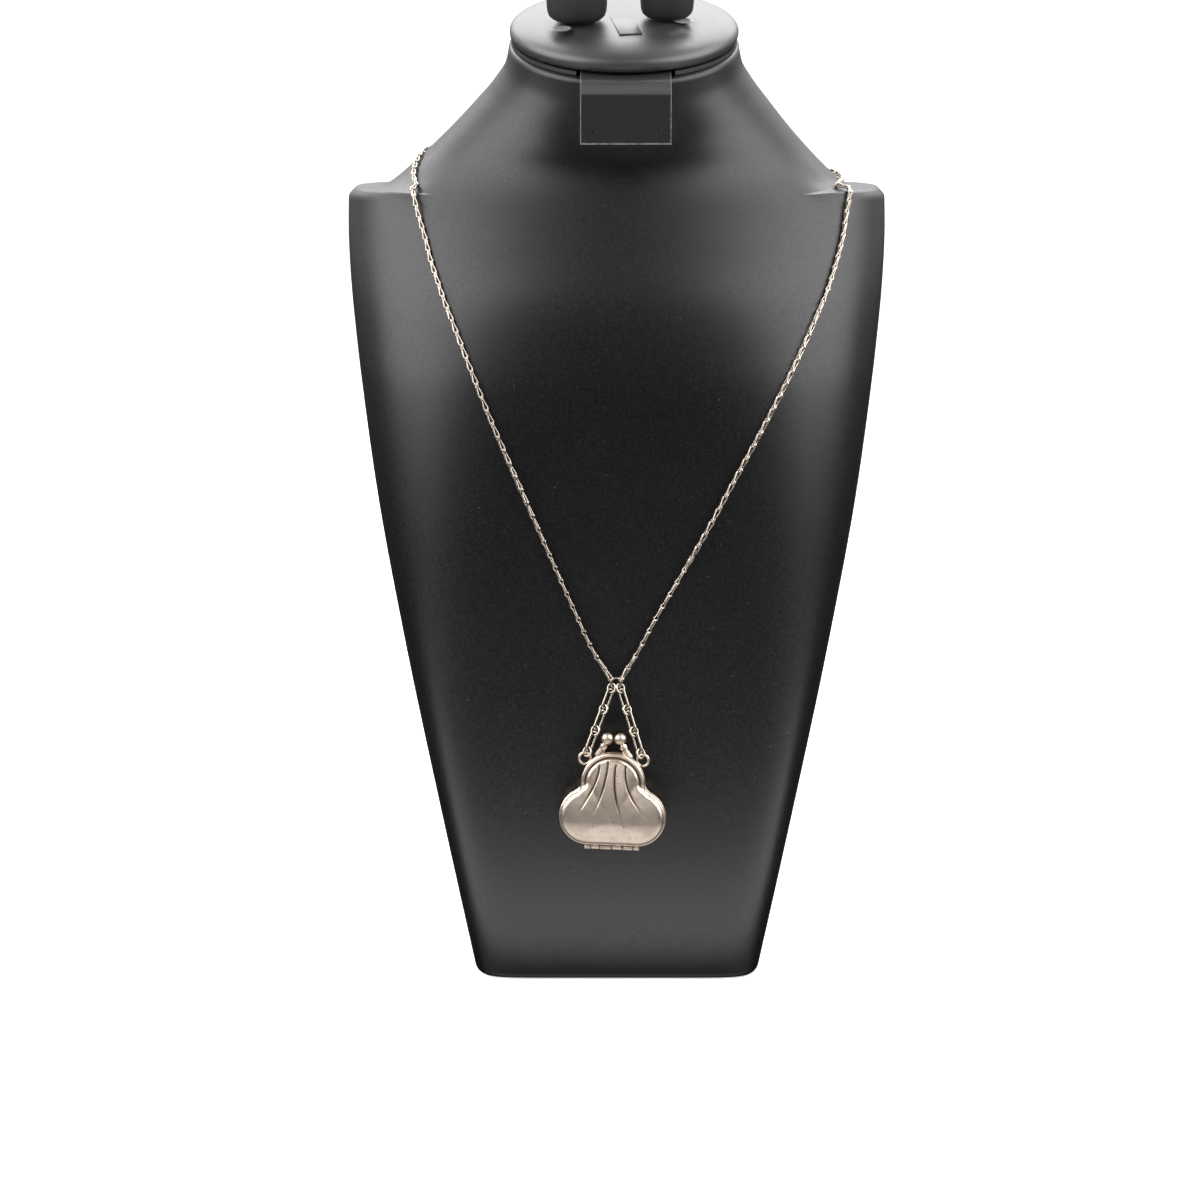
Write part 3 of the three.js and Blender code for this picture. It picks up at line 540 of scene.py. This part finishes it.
rightRoute = [
    (-87.4, 108.5, 0), (-82.8, 116.1, 0), (-75.9, 129.5, 0), (-69.7, 141, 0), (-61.9, 157.5, 0),
    (-55.5, 173.6, 0), (-49.4, 189.6, 0), (-43.5, 205.3, 0), (-38.9, 216.8, 0), (-34, 228.3, 0),
    (-29.2, 238.3, 0), (-25.7, 245.9, 0), (-22.4, 253.6, 0), (-20.5, 261.5, 0), (-19.2, 266.3, 0.8),
    (-14.5, 269.6, 1), (-7, 270.6, 0.6), (1, 271.5, 0.2), (10, 272.6, 0), (20, 273.6, 0), (42, 276.5, 0),
    (66, 280.5, 0), (83, 282, 0)]
leftTwist = [  # length from the ring, turn of the links
    (0, 80), (5, 30), (10, 0), (52, 4), (96, 66), (150, 62), (185, 50), (215, 42), (400, 42)]
rightTwist = [(0, 80), (5, 30), (10, 0), (38, 0), (54, 70), (135, 66), (168, 4), (400, 0)]
ring = {"across": -0.5, "height": 105.6, "standOff": 2.1, "radius": 1.8, "wire": 0.32, "hold": 46}


def chestFront(height):  # straight between the table's rows, as in the solids
    return float(np.interp(height, chestTable[:, 0], chestTable[:, 2]))


ringMiddle = np.array([ring["across"], chestFront(ring["height"]) - ring["standOff"], ring["height"]])


def foldedLink(pitch):  # one wire loop, pinched to two legs and folded over
    u, v, w = [], [], []
    eyeAt = pitch + 2 * chain["wire"] - chain["eye"]
    straight = np.array(chain["straight"])
    spread = chain["leg"] + (chain["eye"] - chain["leg"]) * smoothStep(straight, 3.4, eyeAt + 0.15)
    close = chain["foldHalf"] + (chain["eyeGap"] - chain["foldHalf"]) * smoothStep(straight, 0.4, 4.2)
    arc = np.radians(np.linspace(68, -68, 8))
    fold = np.radians(np.linspace(80, -80, 7))
    for side in (1, -1):  # out along one leg, round the eye, back along the other, then over the fold
        u += [*straight, *(eyeAt + chain["eye"] * np.cos(arc)), *straight[::-1]]
        v += [*(side * spread), *(side * chain["eye"] * np.sin(arc)), *(-side * spread[::-1])]
        w += [*(side * close), *np.full(len(arc), side * chain["eyeGap"]), *(side * close[::-1])]
        u += [*(chain["foldHalf"] * (1 - np.cos(fold)))]
        v += [*np.full(len(fold), -side * chain["leg"])]
        w += [*(side * chain["foldHalf"] * np.sin(fold))]
    return np.column_stack([u, v, w])


def chainLine(route, hook):  # points off the bust along the route, from the ring upwards
    rows = np.array(route, float)
    index = np.arange(len(rows), dtype=float)
    fine = np.linspace(0, index[-1], 900)
    turn, height, lift = (easeThrough(index, rows[:, k], fine) for k in range(3))
    turn = np.radians(turn)
    sideways = bustPoint(turn + 0.03, height) - bustPoint(turn - 0.03, height)
    up = bustPoint(turn, height + 2.5) - bustPoint(turn, height - 2.5)
    normal = np.cross(sideways, up)
    normal /= np.linalg.norm(normal, axis=1)[:, None]
    line = bustPoint(turn, height) + normal * (chain["offset"] + chain["liftScale"] * lift)[:, None]
    first = np.linspace(0, 1, chain["hookPoints"] + 1)[:-1, None]
    firstNormals = np.tile(normal[0], (chain["hookPoints"], 1))
    return np.vstack([hook + (line[0] - hook) * first, line]), np.vstack([firstNormals, normal])


def buildNeckChain(name, node, route, twistRows, hookTurn, seed, foldDown):
    turn = math.radians(hookTurn)
    hook = ringMiddle + (ring["radius"] + chain["wire"]) * np.array([math.cos(turn), 0, math.sin(turn)])
    line, normals = chainLine(route, hook)
    length = np.concatenate([[0], np.cumsum(np.linalg.norm(np.diff(line, axis=0), axis=1))])
    count = round(length[-1] / chain["pitch"])
    pitch = length[-1] / count
    marks = np.arange(count + 1) * pitch
    knots = np.column_stack([np.interp(marks, length, line[:, k]) for k in range(3)])
    halfway = marks[:-1] + pitch / 2
    facing = np.column_stack([np.interp(halfway, length, normals[:, k]) for k in range(3)])
    twistTable = np.array(twistRows, float)
    jitter = np.random.default_rng(seed)
    twist = np.interp(halfway, twistTable[:, 0], twistTable[:, 1])
    twist = twist + jitter.uniform(-1, 1, count) * chain["sway"]
    one = wire(foldedLink(pitch), chain["wire"], 1)
    points = np.array([vert.co[:] for vert in one.verts]) / mm
    one.verts.index_update()
    faces = np.array([[vert.index for vert in face.verts] for face in one.faces if len(face.verts) == 4])
    one.free()
    # patina and painted shade: the wire's inner faces between the two legs are darkened, away from the fold,
    # standing in for the shade inside the link
    tone = np.exp(-(points[:, 1] / chain["darkHalf"]) ** 2) * smoothStep(points[:, 0], 0.5, 1.4)
    if foldDown:  # the links run one way round the loop, so on this side each fold is the lower end
        points[:, :2] = (pitch, 0) - points[:, :2]
    placed = []
    for k in range(count):
        down = knots[k] - knots[k + 1]
        down /= np.linalg.norm(down)
        out = facing[k] - down * np.dot(facing[k], down)
        out /= np.linalg.norm(out)
        angle = math.radians(twist[k])
        thick = math.cos(angle) * out + math.sin(angle) * np.cross(down, out)
        placed.append(knots[k + 1] + points @ np.array([down, np.cross(thick, down), thick]))
    mesh = bpy.data.meshes.new(name)
    shared = np.concatenate([faces + len(points) * k for k in range(count)])
    mesh.from_pydata((np.concatenate(placed) * mm).tolist(), [], shared.tolist())
    patina = mesh.attributes.new("patina", "FLOAT", "POINT")
    patina.data.foreach_set("value", np.tile(chain["dark"] * tone, count).astype(np.float32))
    bm = bmesh.new()
    bm.from_mesh(mesh)
    bpy.data.meshes.remove(mesh)
    bmesh.ops.recalc_face_normals(bm, faces=bm.faces)
    addPiece(name, bm, chainSilver, standBody, [node], 80)
    print(name, count, "links, pitch", round(pitch, 2), "length", round(float(length[-1]), 1))


buildNeckChain("chain_links_left", "neck_chain_left", leftRoute, leftTwist, 148, 3, True)
buildNeckChain("chain_links_right", "neck_chain_right", rightRoute, rightTwist, 32, 5, False)

barrel = {"half": [(0, -4.2), (0.55, -4.15), (0.85, -3.95), (0.95, -3.5), (1.2, -3.3), (1.3, -3.0),
                   (1.3, -0.25), (1.2, -0.12)]}


def buildBarrel():
    low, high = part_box("neck_clasp")
    bm = turned(barrel["half"] + [(radius, -at) for radius, at in barrel["half"][::-1]], 40)
    placeMesh(bm, Matrix.Translation((low + high) / 2) @ spun(90, "Y"))
    addPiece("barrel_clasp", bm, chainSilver, standBody, ["neck_clasp"])


buildBarrel()
print("neck chain built")


# purse locket: made standing on its flat bottom at the origin, then set on the chest
purse = {"across": -1.9, "standOff": 7, "height": 50.3, "lean": -3.43, "tilt": 1, "yaw": -6}
purseSet = (shift(purse["across"], chestFront(purse["height"]) - purse["standOff"], purse["height"])
            @ spun(purse["lean"], "X") @ spun(purse["yaw"], "Z") @ spun(purse["tilt"], "Y"))
pouch = {"flat": 8.55, "radius": 9.85, "shoulder": 62, "archHalf": 10.95, "spring": 21.9, "rise": 10.45,
         "foot": 20.25, "ease": 19.85, "around": 720, "middle": (0, 9.5), "fieldRings": 60,
         "bend": (7.9, 0.09, 0.7), "roll": 2, "rollMore": 0.6, "rollSpan": (9.5, 20),
         "front": (4.55, 3.35), "back": (3.78, 2.95), "paintedDarkBand": 0.13, "paintedDarkBandAt": 13.5, "paintedDarkBandHalf": 4.5,
         "groove": (0.3, 0.75, 0.95, 0.95, 0.75, 0.3), "grooveFrom": 7, "lined": 0.45}
frontWall = [  # inset and depth in the arch, then in the pouch below it
    (3.4, 3.08, 3.6, 3.72), (3.0, 3.02, 3.0, 3.66), (2.65, 2.93, 2.55, 3.59), (2.35, 2.8, 2.15, 3.5),
    (2.12, 2.62, 1.85, 3.41), (1.97, 2.4, 1.6, 3.31), (1.87, 2.15, 1.38, 3.19), (1.78, 1.88, 1.18, 3.05),
    (1.7, 1.68, 1.0, 2.89), (1.58, 1.56, 0.86, 2.71), (1.42, 1.54, 0.75, 2.5), (1.28, 1.62, 0.66, 2.27),
    (1.16, 1.82, 0.59, 2.02), (1.0, 2.0, 0.54, 1.75), (0.78, 2.1, 0.5, 1.5), (0.52, 2.1, 0.46, 1.3),
    (0.26, 1.98, 0.36, 1.18), (0.08, 1.74, 0.12, 1.1), (0, 1.4, 0, 0.9), (0.05, 0.15, 0.02, 0.15)]
frontLining = [
    (0.82, 0.15, 0.82, 0.15), (0.9, 0.2, 0.9, 0.2), (0.95, 0.5, 1.0, 1.7), (1.7, 0.62, 1.7, 2.4),
    (2.6, 1.8, 2.7, 2.75), (3.6, 2.25, 3.8, 3.0)]
backWall = [pair * 2 for pair in (  # the same in the arch and in the pouch
    (3.2, 3.62), (2.4, 3.56), (1.8, 3.46), (1.3, 3.32), (0.9, 3.14), (0.58, 2.9), (0.32, 2.6), (0.14, 2.25),
    (0.03, 1.8), (0, 1.3), (0, 0.22), (0.08, 0.15))]
backLining = [pair * 2 for pair in (
    (0.82, 0.15), (0.9, 0.2), (1.0, 1.8), (1.7, 2.5), (2.6, 2.75), (3.6, 2.85))]
pleat = {"deep": 0.48, "half": 0.36, "ridge": 0.03, "ridgeAt": 0.62, "ridgeHalf": 0.3, "darkHalf": 0.44,
         "rise": 0.03, "fade": 0.45, "tip": 0.5, "rows": [
    ((-4.55, 28.6), (-4.3, 22.6), (-8.6, 17.2), (-11.3, 11.3)),
    ((-1.5, 30), (-1.7, 23.6), (-3.65, 17.3), (-6.2, 11.4)),
    ((1.2, 28.55), (0.15, 21.3), (1.45, 13.9), (4.6, 7.3)),
    ((4.7, 28.95), (3.4, 22), (7.15, 15.7), (11.6, 10.7))]}


def pouchOutline():
    turn = math.radians(pouch["shoulder"])
    r = pouch["radius"]
    corner = np.array([pouch["flat"] + r * math.cos(turn), r + r * math.sin(turn)])
    low = np.radians(np.linspace(-90, pouch["shoulder"], 160))
    lobe = np.column_stack([pouch["flat"] + r * np.cos(low), r + r * np.sin(low)])
    t = np.linspace(0, 1, 24)[:, None]
    knee, spring = (np.array([pouch["archHalf"], pouch[key]]) for key in ("ease", "spring"))
    waist = corner * (1 - t) ** 2 + knee * 2 * t * (1 - t) + spring * t * t
    bow = np.radians(np.linspace(0, 90, 120))
    arch = np.column_stack([pouch["archHalf"] * np.cos(bow), pouch["spring"] + pouch["rise"] * np.sin(bow)])
    right = np.vstack([[(0, 0)], lobe, waist[1:], arch[1:]])
    line = np.vstack([right, right[::-1][1:] * (-1, 1)])
    length = np.concatenate([[0], np.cumsum(np.linalg.norm(np.diff(line, axis=0), axis=1))])
    marks = np.arange(pouch["around"]) / pouch["around"] * length[-1]
    points = np.column_stack([np.interp(marks, length, line[:, 0]), np.interp(marks, length, line[:, 1])])
    along = np.roll(points, -2, 0) - np.roll(points, 2, 0)
    along /= np.linalg.norm(along, axis=1)[:, None]
    inward = np.column_stack([-along[:, 1], along[:, 0]])
    return points, inward, smoothStep(points[:, 1], pouch["foot"] - 0.6, pouch["foot"] + 1.8)


outlinePoints, outlineInward, archShare = pouchOutline()


def wallRing(row, side):
    inset = row[2] + (row[0] - row[2]) * archShare
    depth = row[3] + (row[1] - row[3]) * archShare
    at = outlinePoints + outlineInward * inset[:, None]
    return np.column_stack([at[:, 0], side * depth, at[:, 1]])


def fieldRings(edge, deep, side, count):  # rings from the middle of the face out to its edge
    middle = np.array([pouch["middle"][0], side * deep, pouch["middle"][1]])
    power = pouch["roll"] + pouch["rollMore"] * smoothStep(edge[:, 2], *pouch["rollSpan"])
    rings = []
    for share in np.linspace(0, 1, count + 1)[:-1]:
        ringPoints = middle + (edge - middle) * share
        ringPoints[:, 1] = middle[1] + (edge[:, 1] - middle[1]) * share ** power
        rings.append(ringPoints)
    return rings


def pleatFold(x, z):  # how far the face sinks, and how dark the fold is painted: patina with painted shade in the groove
    sink, dark = np.zeros_like(x), np.zeros_like(x)
    t = np.linspace(0, 1, 120)
    for a, b, c, d in pleat["rows"]:
        weights = np.column_stack([(1 - t) ** 3, 3 * t * (1 - t) ** 2, 3 * t * t * (1 - t), t ** 3])
        path = weights @ np.array([a, b, c, d])
        gapX = x[..., None] - path[:, 0]
        gapZ = z[..., None] - path[:, 1]
        reach = gapX ** 2 + gapZ ** 2
        near = reach.argmin(-1)
        away = np.sqrt(np.take_along_axis(reach, near[..., None], -1)[..., 0])
        swell = np.minimum((t[near] + 0.01) / pleat["rise"], (1.02 - t[near]) / pleat["fade"])
        past = (near == 0) | (near == len(t) - 1)
        swell = np.clip(swell, 0, 1) ** 0.8 * np.where(past, np.exp(-(away / pleat["tip"]) ** 2), 1)
        sink += swell * (pleat["deep"] * np.exp(-(away / pleat["half"]) ** 2)
                         - pleat["ridge"] * np.exp(-((away - pleat["ridgeAt"]) / pleat["ridgeHalf"]) ** 2))
        # painted shade down the fold, together with its patina
        dark = np.maximum(dark, swell * np.exp(-(away / pleat["darkHalf"]) ** 2))
    return sink, dark


def purseShell(wall, lining, depths, side):
    outer, inner = depths
    walls = [wallRing(row, side) for row in wall]
    linings = [wallRing(row, side) for row in lining]
    rings = fieldRings(walls[0], outer, side, pouch["fieldRings"]) + walls + linings
    rings += fieldRings(linings[-1], inner, side, 8)[::-1]
    rings = np.array(rings)
    patina = np.zeros(rings.shape[:2])
    bendAt, bendSlope, bendSoft = pouch["bend"]
    below = bendAt - rings[:, :, 2]
    bend = bendSlope * (np.sqrt(below ** 2 + bendSoft ** 2) + below) / 2  # the lower face turns down
    rings[:, :, 1] -= side * bend * smoothStep(side * rings[:, :, 1], 0.5, 3.4)
    outside = pouch["fieldRings"] + len(wall)
    if side < 0:
        fieldPart = rings[:pouch["fieldRings"] + 3]
        sink, dark = pleatFold(fieldPart[..., 0], fieldPart[..., 2])
        fieldPart[..., 1] += sink
        across = (fieldPart[..., 2] - pouch["paintedDarkBandAt"]) / pouch["paintedDarkBandHalf"]
        paintedDarkBand = pouch["paintedDarkBand"] * np.exp(-across ** 2)  # painted shade: a dark band across the middle of the face, standing in for the dark reflection there
        patina[:len(fieldPart)] = np.maximum(dark, paintedDarkBand)
        for k, tone in enumerate(pouch["groove"]):  # groove inside the frame
            patina[pouch["fieldRings"] + pouch["grooveFrom"] + k] = tone * archShare
    patina[outside:] = pouch["lined"]
    return ringSkin(rings, patina)


hinge = {"drop": 1.0, "slit": 0.3, "end": [(0, 0), (0.6, 0), (0.74, 0.05), (0.78, 0.16)], "knuckles": [
    (2, "back"), (2.9, "front"), (3.8, "back"), (3.4, "front"), (3.4, "back"), (2, "front")],
    "leaf": (1.1, 1.5), "leafNear": 0.3, "leafShort": 0.1, "leafBevel": 0.12}


def hingeParts(half):
    side = -1 if half == "front" else 1
    total = sum(length for length, _ in hinge["knuckles"]) + hinge["slit"] * (len(hinge["knuckles"]) - 1)
    start = -total / 2
    parts = []
    for length, owner in hinge["knuckles"]:
        if owner == half:
            middle = start + length / 2
            end = [(radius, at - length / 2) for radius, at in hinge["end"]]
            knuckle = turned(end + [(radius, -at) for radius, at in end[::-1]], 28)
            parts.append(placeMesh(knuckle, shift(middle, 0, -hinge["drop"]) @ spun(90, "Y")))
            deep, tall = hinge["leaf"]
            wing = softBox((length - hinge["leafShort"], deep, tall), hinge["leafBevel"])
            wingAt = shift(middle, side * (hinge["leafNear"] + deep / 2), -hinge["drop"] + tall / 2)
            parts.append(placeMesh(wing, wingAt))
        start += length + hinge["slit"]
    return parts


kiss = {"ball": (2.2, 37.1), "radius": 2.05, "foot": (5, 0.9, 31), "ballDull": 0.16, "footTarnishAndShadow": 0.55,
        "drum": [(0, 2.95), (1.05, 2.95), (1.2, 3.02), (1.26, 3.18), (1.26, 4.3), (1.2, 4.48), (1.05, 4.55),
                 (0.75, 4.57), (0.68, 4.8), (0.7, 5.6), (0, 5.8)],
        "stem": [(0, -0.6), (1.75, -0.6), (1.72, 0), (1.3, 1.6), (1.06, 2.6), (1.0, 3.0), (0, 3.05)],
        "stemBevel": 0.1, "stemFlat": 0.5}


def kissPost(hand, side):  # ball on a thin neck, a collar drum and a flat foot
    foot = Vector((hand * kiss["foot"][0], side * kiss["foot"][1], kiss["foot"][2]))
    top = Vector((hand * kiss["ball"][0], 0, kiss["ball"][1]))
    length = (top - foot).length
    lay = shift(*foot) @ Vector((0, 0, 1)).rotation_difference(top - foot).to_matrix().to_4x4()
    ball = bmesh.new()
    ball.verts.layers.float.new("patina")
    bmesh.ops.create_uvsphere(ball, u_segments=40, v_segments=24, radius=kiss["radius"] * mm)
    for vert in ball.verts:
        vert[ball.verts.layers.float["patina"]] = kiss["ballDull"]
    placeMesh(ball, shift(0, 0, length))
    drum = turned(kiss["drum"], 32)
    stem = turned(kiss["stem"], 4)
    inner = [edge for edge in stem.edges if not edge.is_boundary]
    bmesh.ops.bevel(stem, geom=inner, offset=kiss["stemBevel"] * mm, affect="EDGES", segments=2, profile=0.5,
                    material=-1)
    bmesh.ops.scale(stem, vec=(1, kiss["stemFlat"], 1), verts=stem.verts)
    for vert in stem.verts:  # tarnish and painted shadow darken the foot at the post's base
        vert[stem.verts.layers.float["patina"]] = kiss["footTarnishAndShadow"]
    return [placeMesh(part, lay) for part in (ball, drum, stem)]


ear = {"across": 10, "depth": 1, "height": 29.8, "radius": 2, "wire": 0.42, "thick": 0.46}


def circle(radius, count):
    turn = np.arange(count) / count * 2 * math.pi
    return np.column_stack([radius * np.cos(turn), np.zeros(count), radius * np.sin(turn)])


def buildPurse():
    front = [purseShell(frontWall, frontLining, pouch["front"], -1), *hingeParts("front"), *kissPost(1, -1)]
    front = placeMesh(joined(front), purseSet)
    addPiece("purse_front_shell", front, purseSilver, lidBody, ["purse_front"])
    back = [purseShell(backWall, backLining, pouch["back"], 1), *hingeParts("back"), *kissPost(-1, 1)]
    for hand in (-1, 1):
        eyelet = wire(circle(ear["radius"], 40), ear["thick"], 4)
        back.append(placeMesh(eyelet, shift(hand * ear["across"], ear["depth"], ear["height"])))
    back = placeMesh(joined(back), purseSet)
    addPiece("purse_back_shell", back, purseSilver, standBody, ["purse_back"])


buildPurse()
frame["nodes"]["hinge_pin"].data.materials.clear()
frame["nodes"]["hinge_pin"].data.materials.append(chainSilver)
print("purse built")


# handle chains: small round and long links in turn, from the jump ring to the purse's eyelets
link = {"wire": 0.35, "thick": 0.39, "small": 2.5, "long": 6.15, "longHalf": 1.0, "count": 7,
        "smallTurn": -42, "longTurn": 20, "endPoints": 15}


def linkLoop(inside, half):
    reach = inside / 2 + link["wire"] - half
    count = link["endPoints"]
    turn = np.radians(np.linspace(-90, 90, count))
    rightEnd = np.column_stack([reach + half * np.cos(turn), half * np.sin(turn), np.zeros(count)])
    ends = np.vstack([rightEnd, rightEnd * (-1, -1, 1)])
    return ends if reach > 0.02 else np.delete(ends, [count - 1, 2 * count - 1], 0)  # a round link


def buildHandle(side, hand):
    earAt = np.array(purseSet @ (Vector((hand * ear["across"], ear["depth"], ear["height"])) * mm)) / mm
    hold = math.radians(ring["hold"])
    start = ringMiddle + ring["radius"] * np.array([hand * math.sin(hold), 0, -math.cos(hold)])
    toRing = (start - earAt) / np.linalg.norm(start - earAt)
    run = earAt + toRing * ear["radius"] - start
    length = np.linalg.norm(run)
    along = run / length
    insides = [link["long"] if i % 2 else link["small"] for i in range(link["count"])]
    slack = (sum(insides) - ring["wire"] - ear["wire"] - length) / (link["count"] + 1)
    wide = np.cross((0, 1, 0), along)
    wide /= np.linalg.norm(wide)
    axes = np.column_stack([along, wide, np.cross(along, wide)])
    lay = Matrix([(*row, 0) for row in axes] + [(0, 0, 0, 1)])
    place = insides[0] / 2 - ring["wire"] - slack
    for i, inside in enumerate(insides):
        small = i % 2 == 0
        half = link["small"] / 2 + link["wire"] if small else link["longHalf"]
        bm = wire(linkLoop(inside, half), link["thick"], 3)
        turn = hand * (link["smallTurn"] if small else link["longTurn"])
        placeMesh(bm, shift(*(start + along * place)) @ lay @ spun(turn, "X"))
        node = f"handle_{side}_link_{i + 1}"
        addPiece(node.replace("handle", "wire"), bm, chainSilver, standBody, [node])
        if i + 1 < len(insides):
            place += (inside + insides[i + 1]) / 2 - slack


jumpRing = placeMesh(wire(circle(ring["radius"], 40), ring["wire"], 3), shift(*ringMiddle))
addPiece("wire_jump_ring", jumpRing, chainSilver, standBody, ["jump_ring"])
buildHandle("left", -1)
buildHandle("right", 1)
print("handles built")


# floor, backdrop and light
studio = {
    "pale": 0.88, "glow": 0.62, "half": 7.0, "from": -7.0, "floor": -0.0003, "bend": 1.9, "bendRadius": 0.8,
    "top": 3.6, "lamps": [
        ("soft_left", (-1.1, -0.35, 1.0), (0, -0.05, 0.22), (1.5, 1.5), 33, ()),
        ("soft_right", (1.1, -0.35, 1.0), (0, -0.05, 0.22), (1.5, 1.5), 33, ()),
        ("soft_over", (0, 1.0, 1.2), (0, 0.03, 0.32), (1.8, 0.9), 18, ()),
        ("soft_table", (0, -0.125, 0.002), (0, -0.125, 1), (0.8, 0.1), 0.8, ("bust_",)),
        ("soft_front", (-0.147, -1.455, 0.334), (0, -0.055, 0.075), (0.8, 0.47), 1.5,
         ("purse_", "chain_", "wire_"))],
    "room": (0.02, 0.10), "roomSpan": (0, 0.5),  # light of the room, and the directions where it changes
    "low": 0.16, "lowSpan": (-0.12, -0.3), "aheadSpan": (-0.55, -0.9),
    "deep": 0.85, "deepSpan": (-0.36, -0.5), "nearSpan": (0, -0.3),
    "rear": 1.0, "rearSpan": (0.25, 0.75), "rearUp": (-0.1, 0.15),
    "sky": 1.2, "skySpan": (0.3, 0.5), "skyBack": (0.1, 0.4)}


def buildSweep():  # pale paper: a floor that bends up into a wall behind
    paper = bpy.data.materials.new("palePaper")
    paper.use_nodes = True
    shader = paper.node_tree.nodes["Principled BSDF"]
    shader.inputs["Base Color"].default_value = (studio["pale"], studio["pale"], studio["pale"], 1)
    shader.inputs["Roughness"].default_value = 0.9
    shader.inputs["Emission Color"].default_value = (1, 1, 1, 1)
    shader.inputs["Emission Strength"].default_value = studio["glow"]
    bm = bmesh.new()
    ends = [bm.verts.new((side * studio["half"], studio["from"], studio["floor"])) for side in (-1, 1)]
    edge = bm.edges.new(ends)
    run = bmesh.ops.extrude_edge_only(bm, edges=[edge])["geom"]
    moved = [part for part in run if isinstance(part, bmesh.types.BMVert)]
    bmesh.ops.translate(bm, vec=(0, studio["bend"] - studio["from"], 0), verts=moved)
    lip = [part for part in run if isinstance(part, bmesh.types.BMEdge)]
    centre = (0, studio["bend"], studio["bendRadius"])
    last = bmesh.ops.spin(bm, geom=moved + lip, cent=centre, axis=(1, 0, 0), angle=math.pi / 2,
                          steps=16)["geom_last"]
    lip = [part for part in last if isinstance(part, bmesh.types.BMEdge)]
    run = bmesh.ops.extrude_edge_only(bm, edges=lip)["geom"]
    moved = [part for part in run if isinstance(part, bmesh.types.BMVert)]
    bmesh.ops.translate(bm, vec=(0, 0, studio["top"] - studio["bendRadius"]), verts=moved)
    mesh = bpy.data.meshes.new("paper_sweep")
    bm.to_mesh(mesh)
    bm.free()
    mesh.materials.append(paper)
    mesh.shade_smooth()
    sweep = bpy.data.objects.new("paper_sweep", mesh)
    scene.collection.objects.link(sweep)
    sweep.visible_glossy = False


def buildStudio():
    buildSweep()
    for name, place, aim, size, power, starts in studio["lamps"]:
        lamp = bpy.data.lights.new(name, "AREA")
        lamp.shape = "RECTANGLE"
        lamp.size, lamp.size_y = size
        lamp.energy = power
        holder = bpy.data.objects.new(name, lamp)
        holder.location = place
        holder.rotation_euler = (Vector(aim) - Vector(place)).to_track_quat("-Z", "Y").to_euler()
        holder.visible_camera = False
        scene.collection.objects.link(holder)
        if starts:  # this lamp lights only the pieces whose names start so
            lit = bpy.data.collections.new(name + "_lit")
            for piece in scene.objects:
                if piece.type == "MESH" and piece.name.startswith(starts):
                    lit.objects.link(piece)
            holder.light_linking.receiver_collection = lit
    world = bpy.data.worlds.new("room")
    world.use_nodes = True
    nodes, links = world.node_tree.nodes, world.node_tree.links
    apart = nodes.new("ShaderNodeSeparateXYZ")
    links.new(nodes.new("ShaderNodeTexCoord").outputs["Generated"], apart.inputs["Vector"])
    _, y, z = apart.outputs

    def ramp(way, span, strength):
        return ranged(nodes, links, way, *studio[span], 0, strength)

    def both(first, second):
        return combined(nodes, links, "MULTIPLY", first, second)

    low = both(ramp(z, "lowSpan", studio["low"]), ramp(y, "aheadSpan", 1))
    deep = both(ramp(z, "deepSpan", studio["deep"]), ramp(y, "nearSpan", 1))
    below = combined(nodes, links, "ADD", low, deep)
    behind = both(ramp(y, "rearSpan", studio["rear"]), ramp(z, "rearUp", 1))
    sky = both(ramp(z, "skySpan", studio["sky"]), ramp(y, "skyBack", 1))
    high = ranged(nodes, links, z, *studio["roomSpan"], *studio["room"])
    whole = summed(nodes, links, summed(nodes, links, below, summed(nodes, links, behind, sky)), high)
    nodes["Background"].inputs["Color"].default_value = (1, 1, 1, 1)
    links.new(whole, nodes["Background"].inputs["Strength"])
    scene.world = world
    scene.view_settings.view_transform = "Standard"


buildStudio()
print("studio lit")
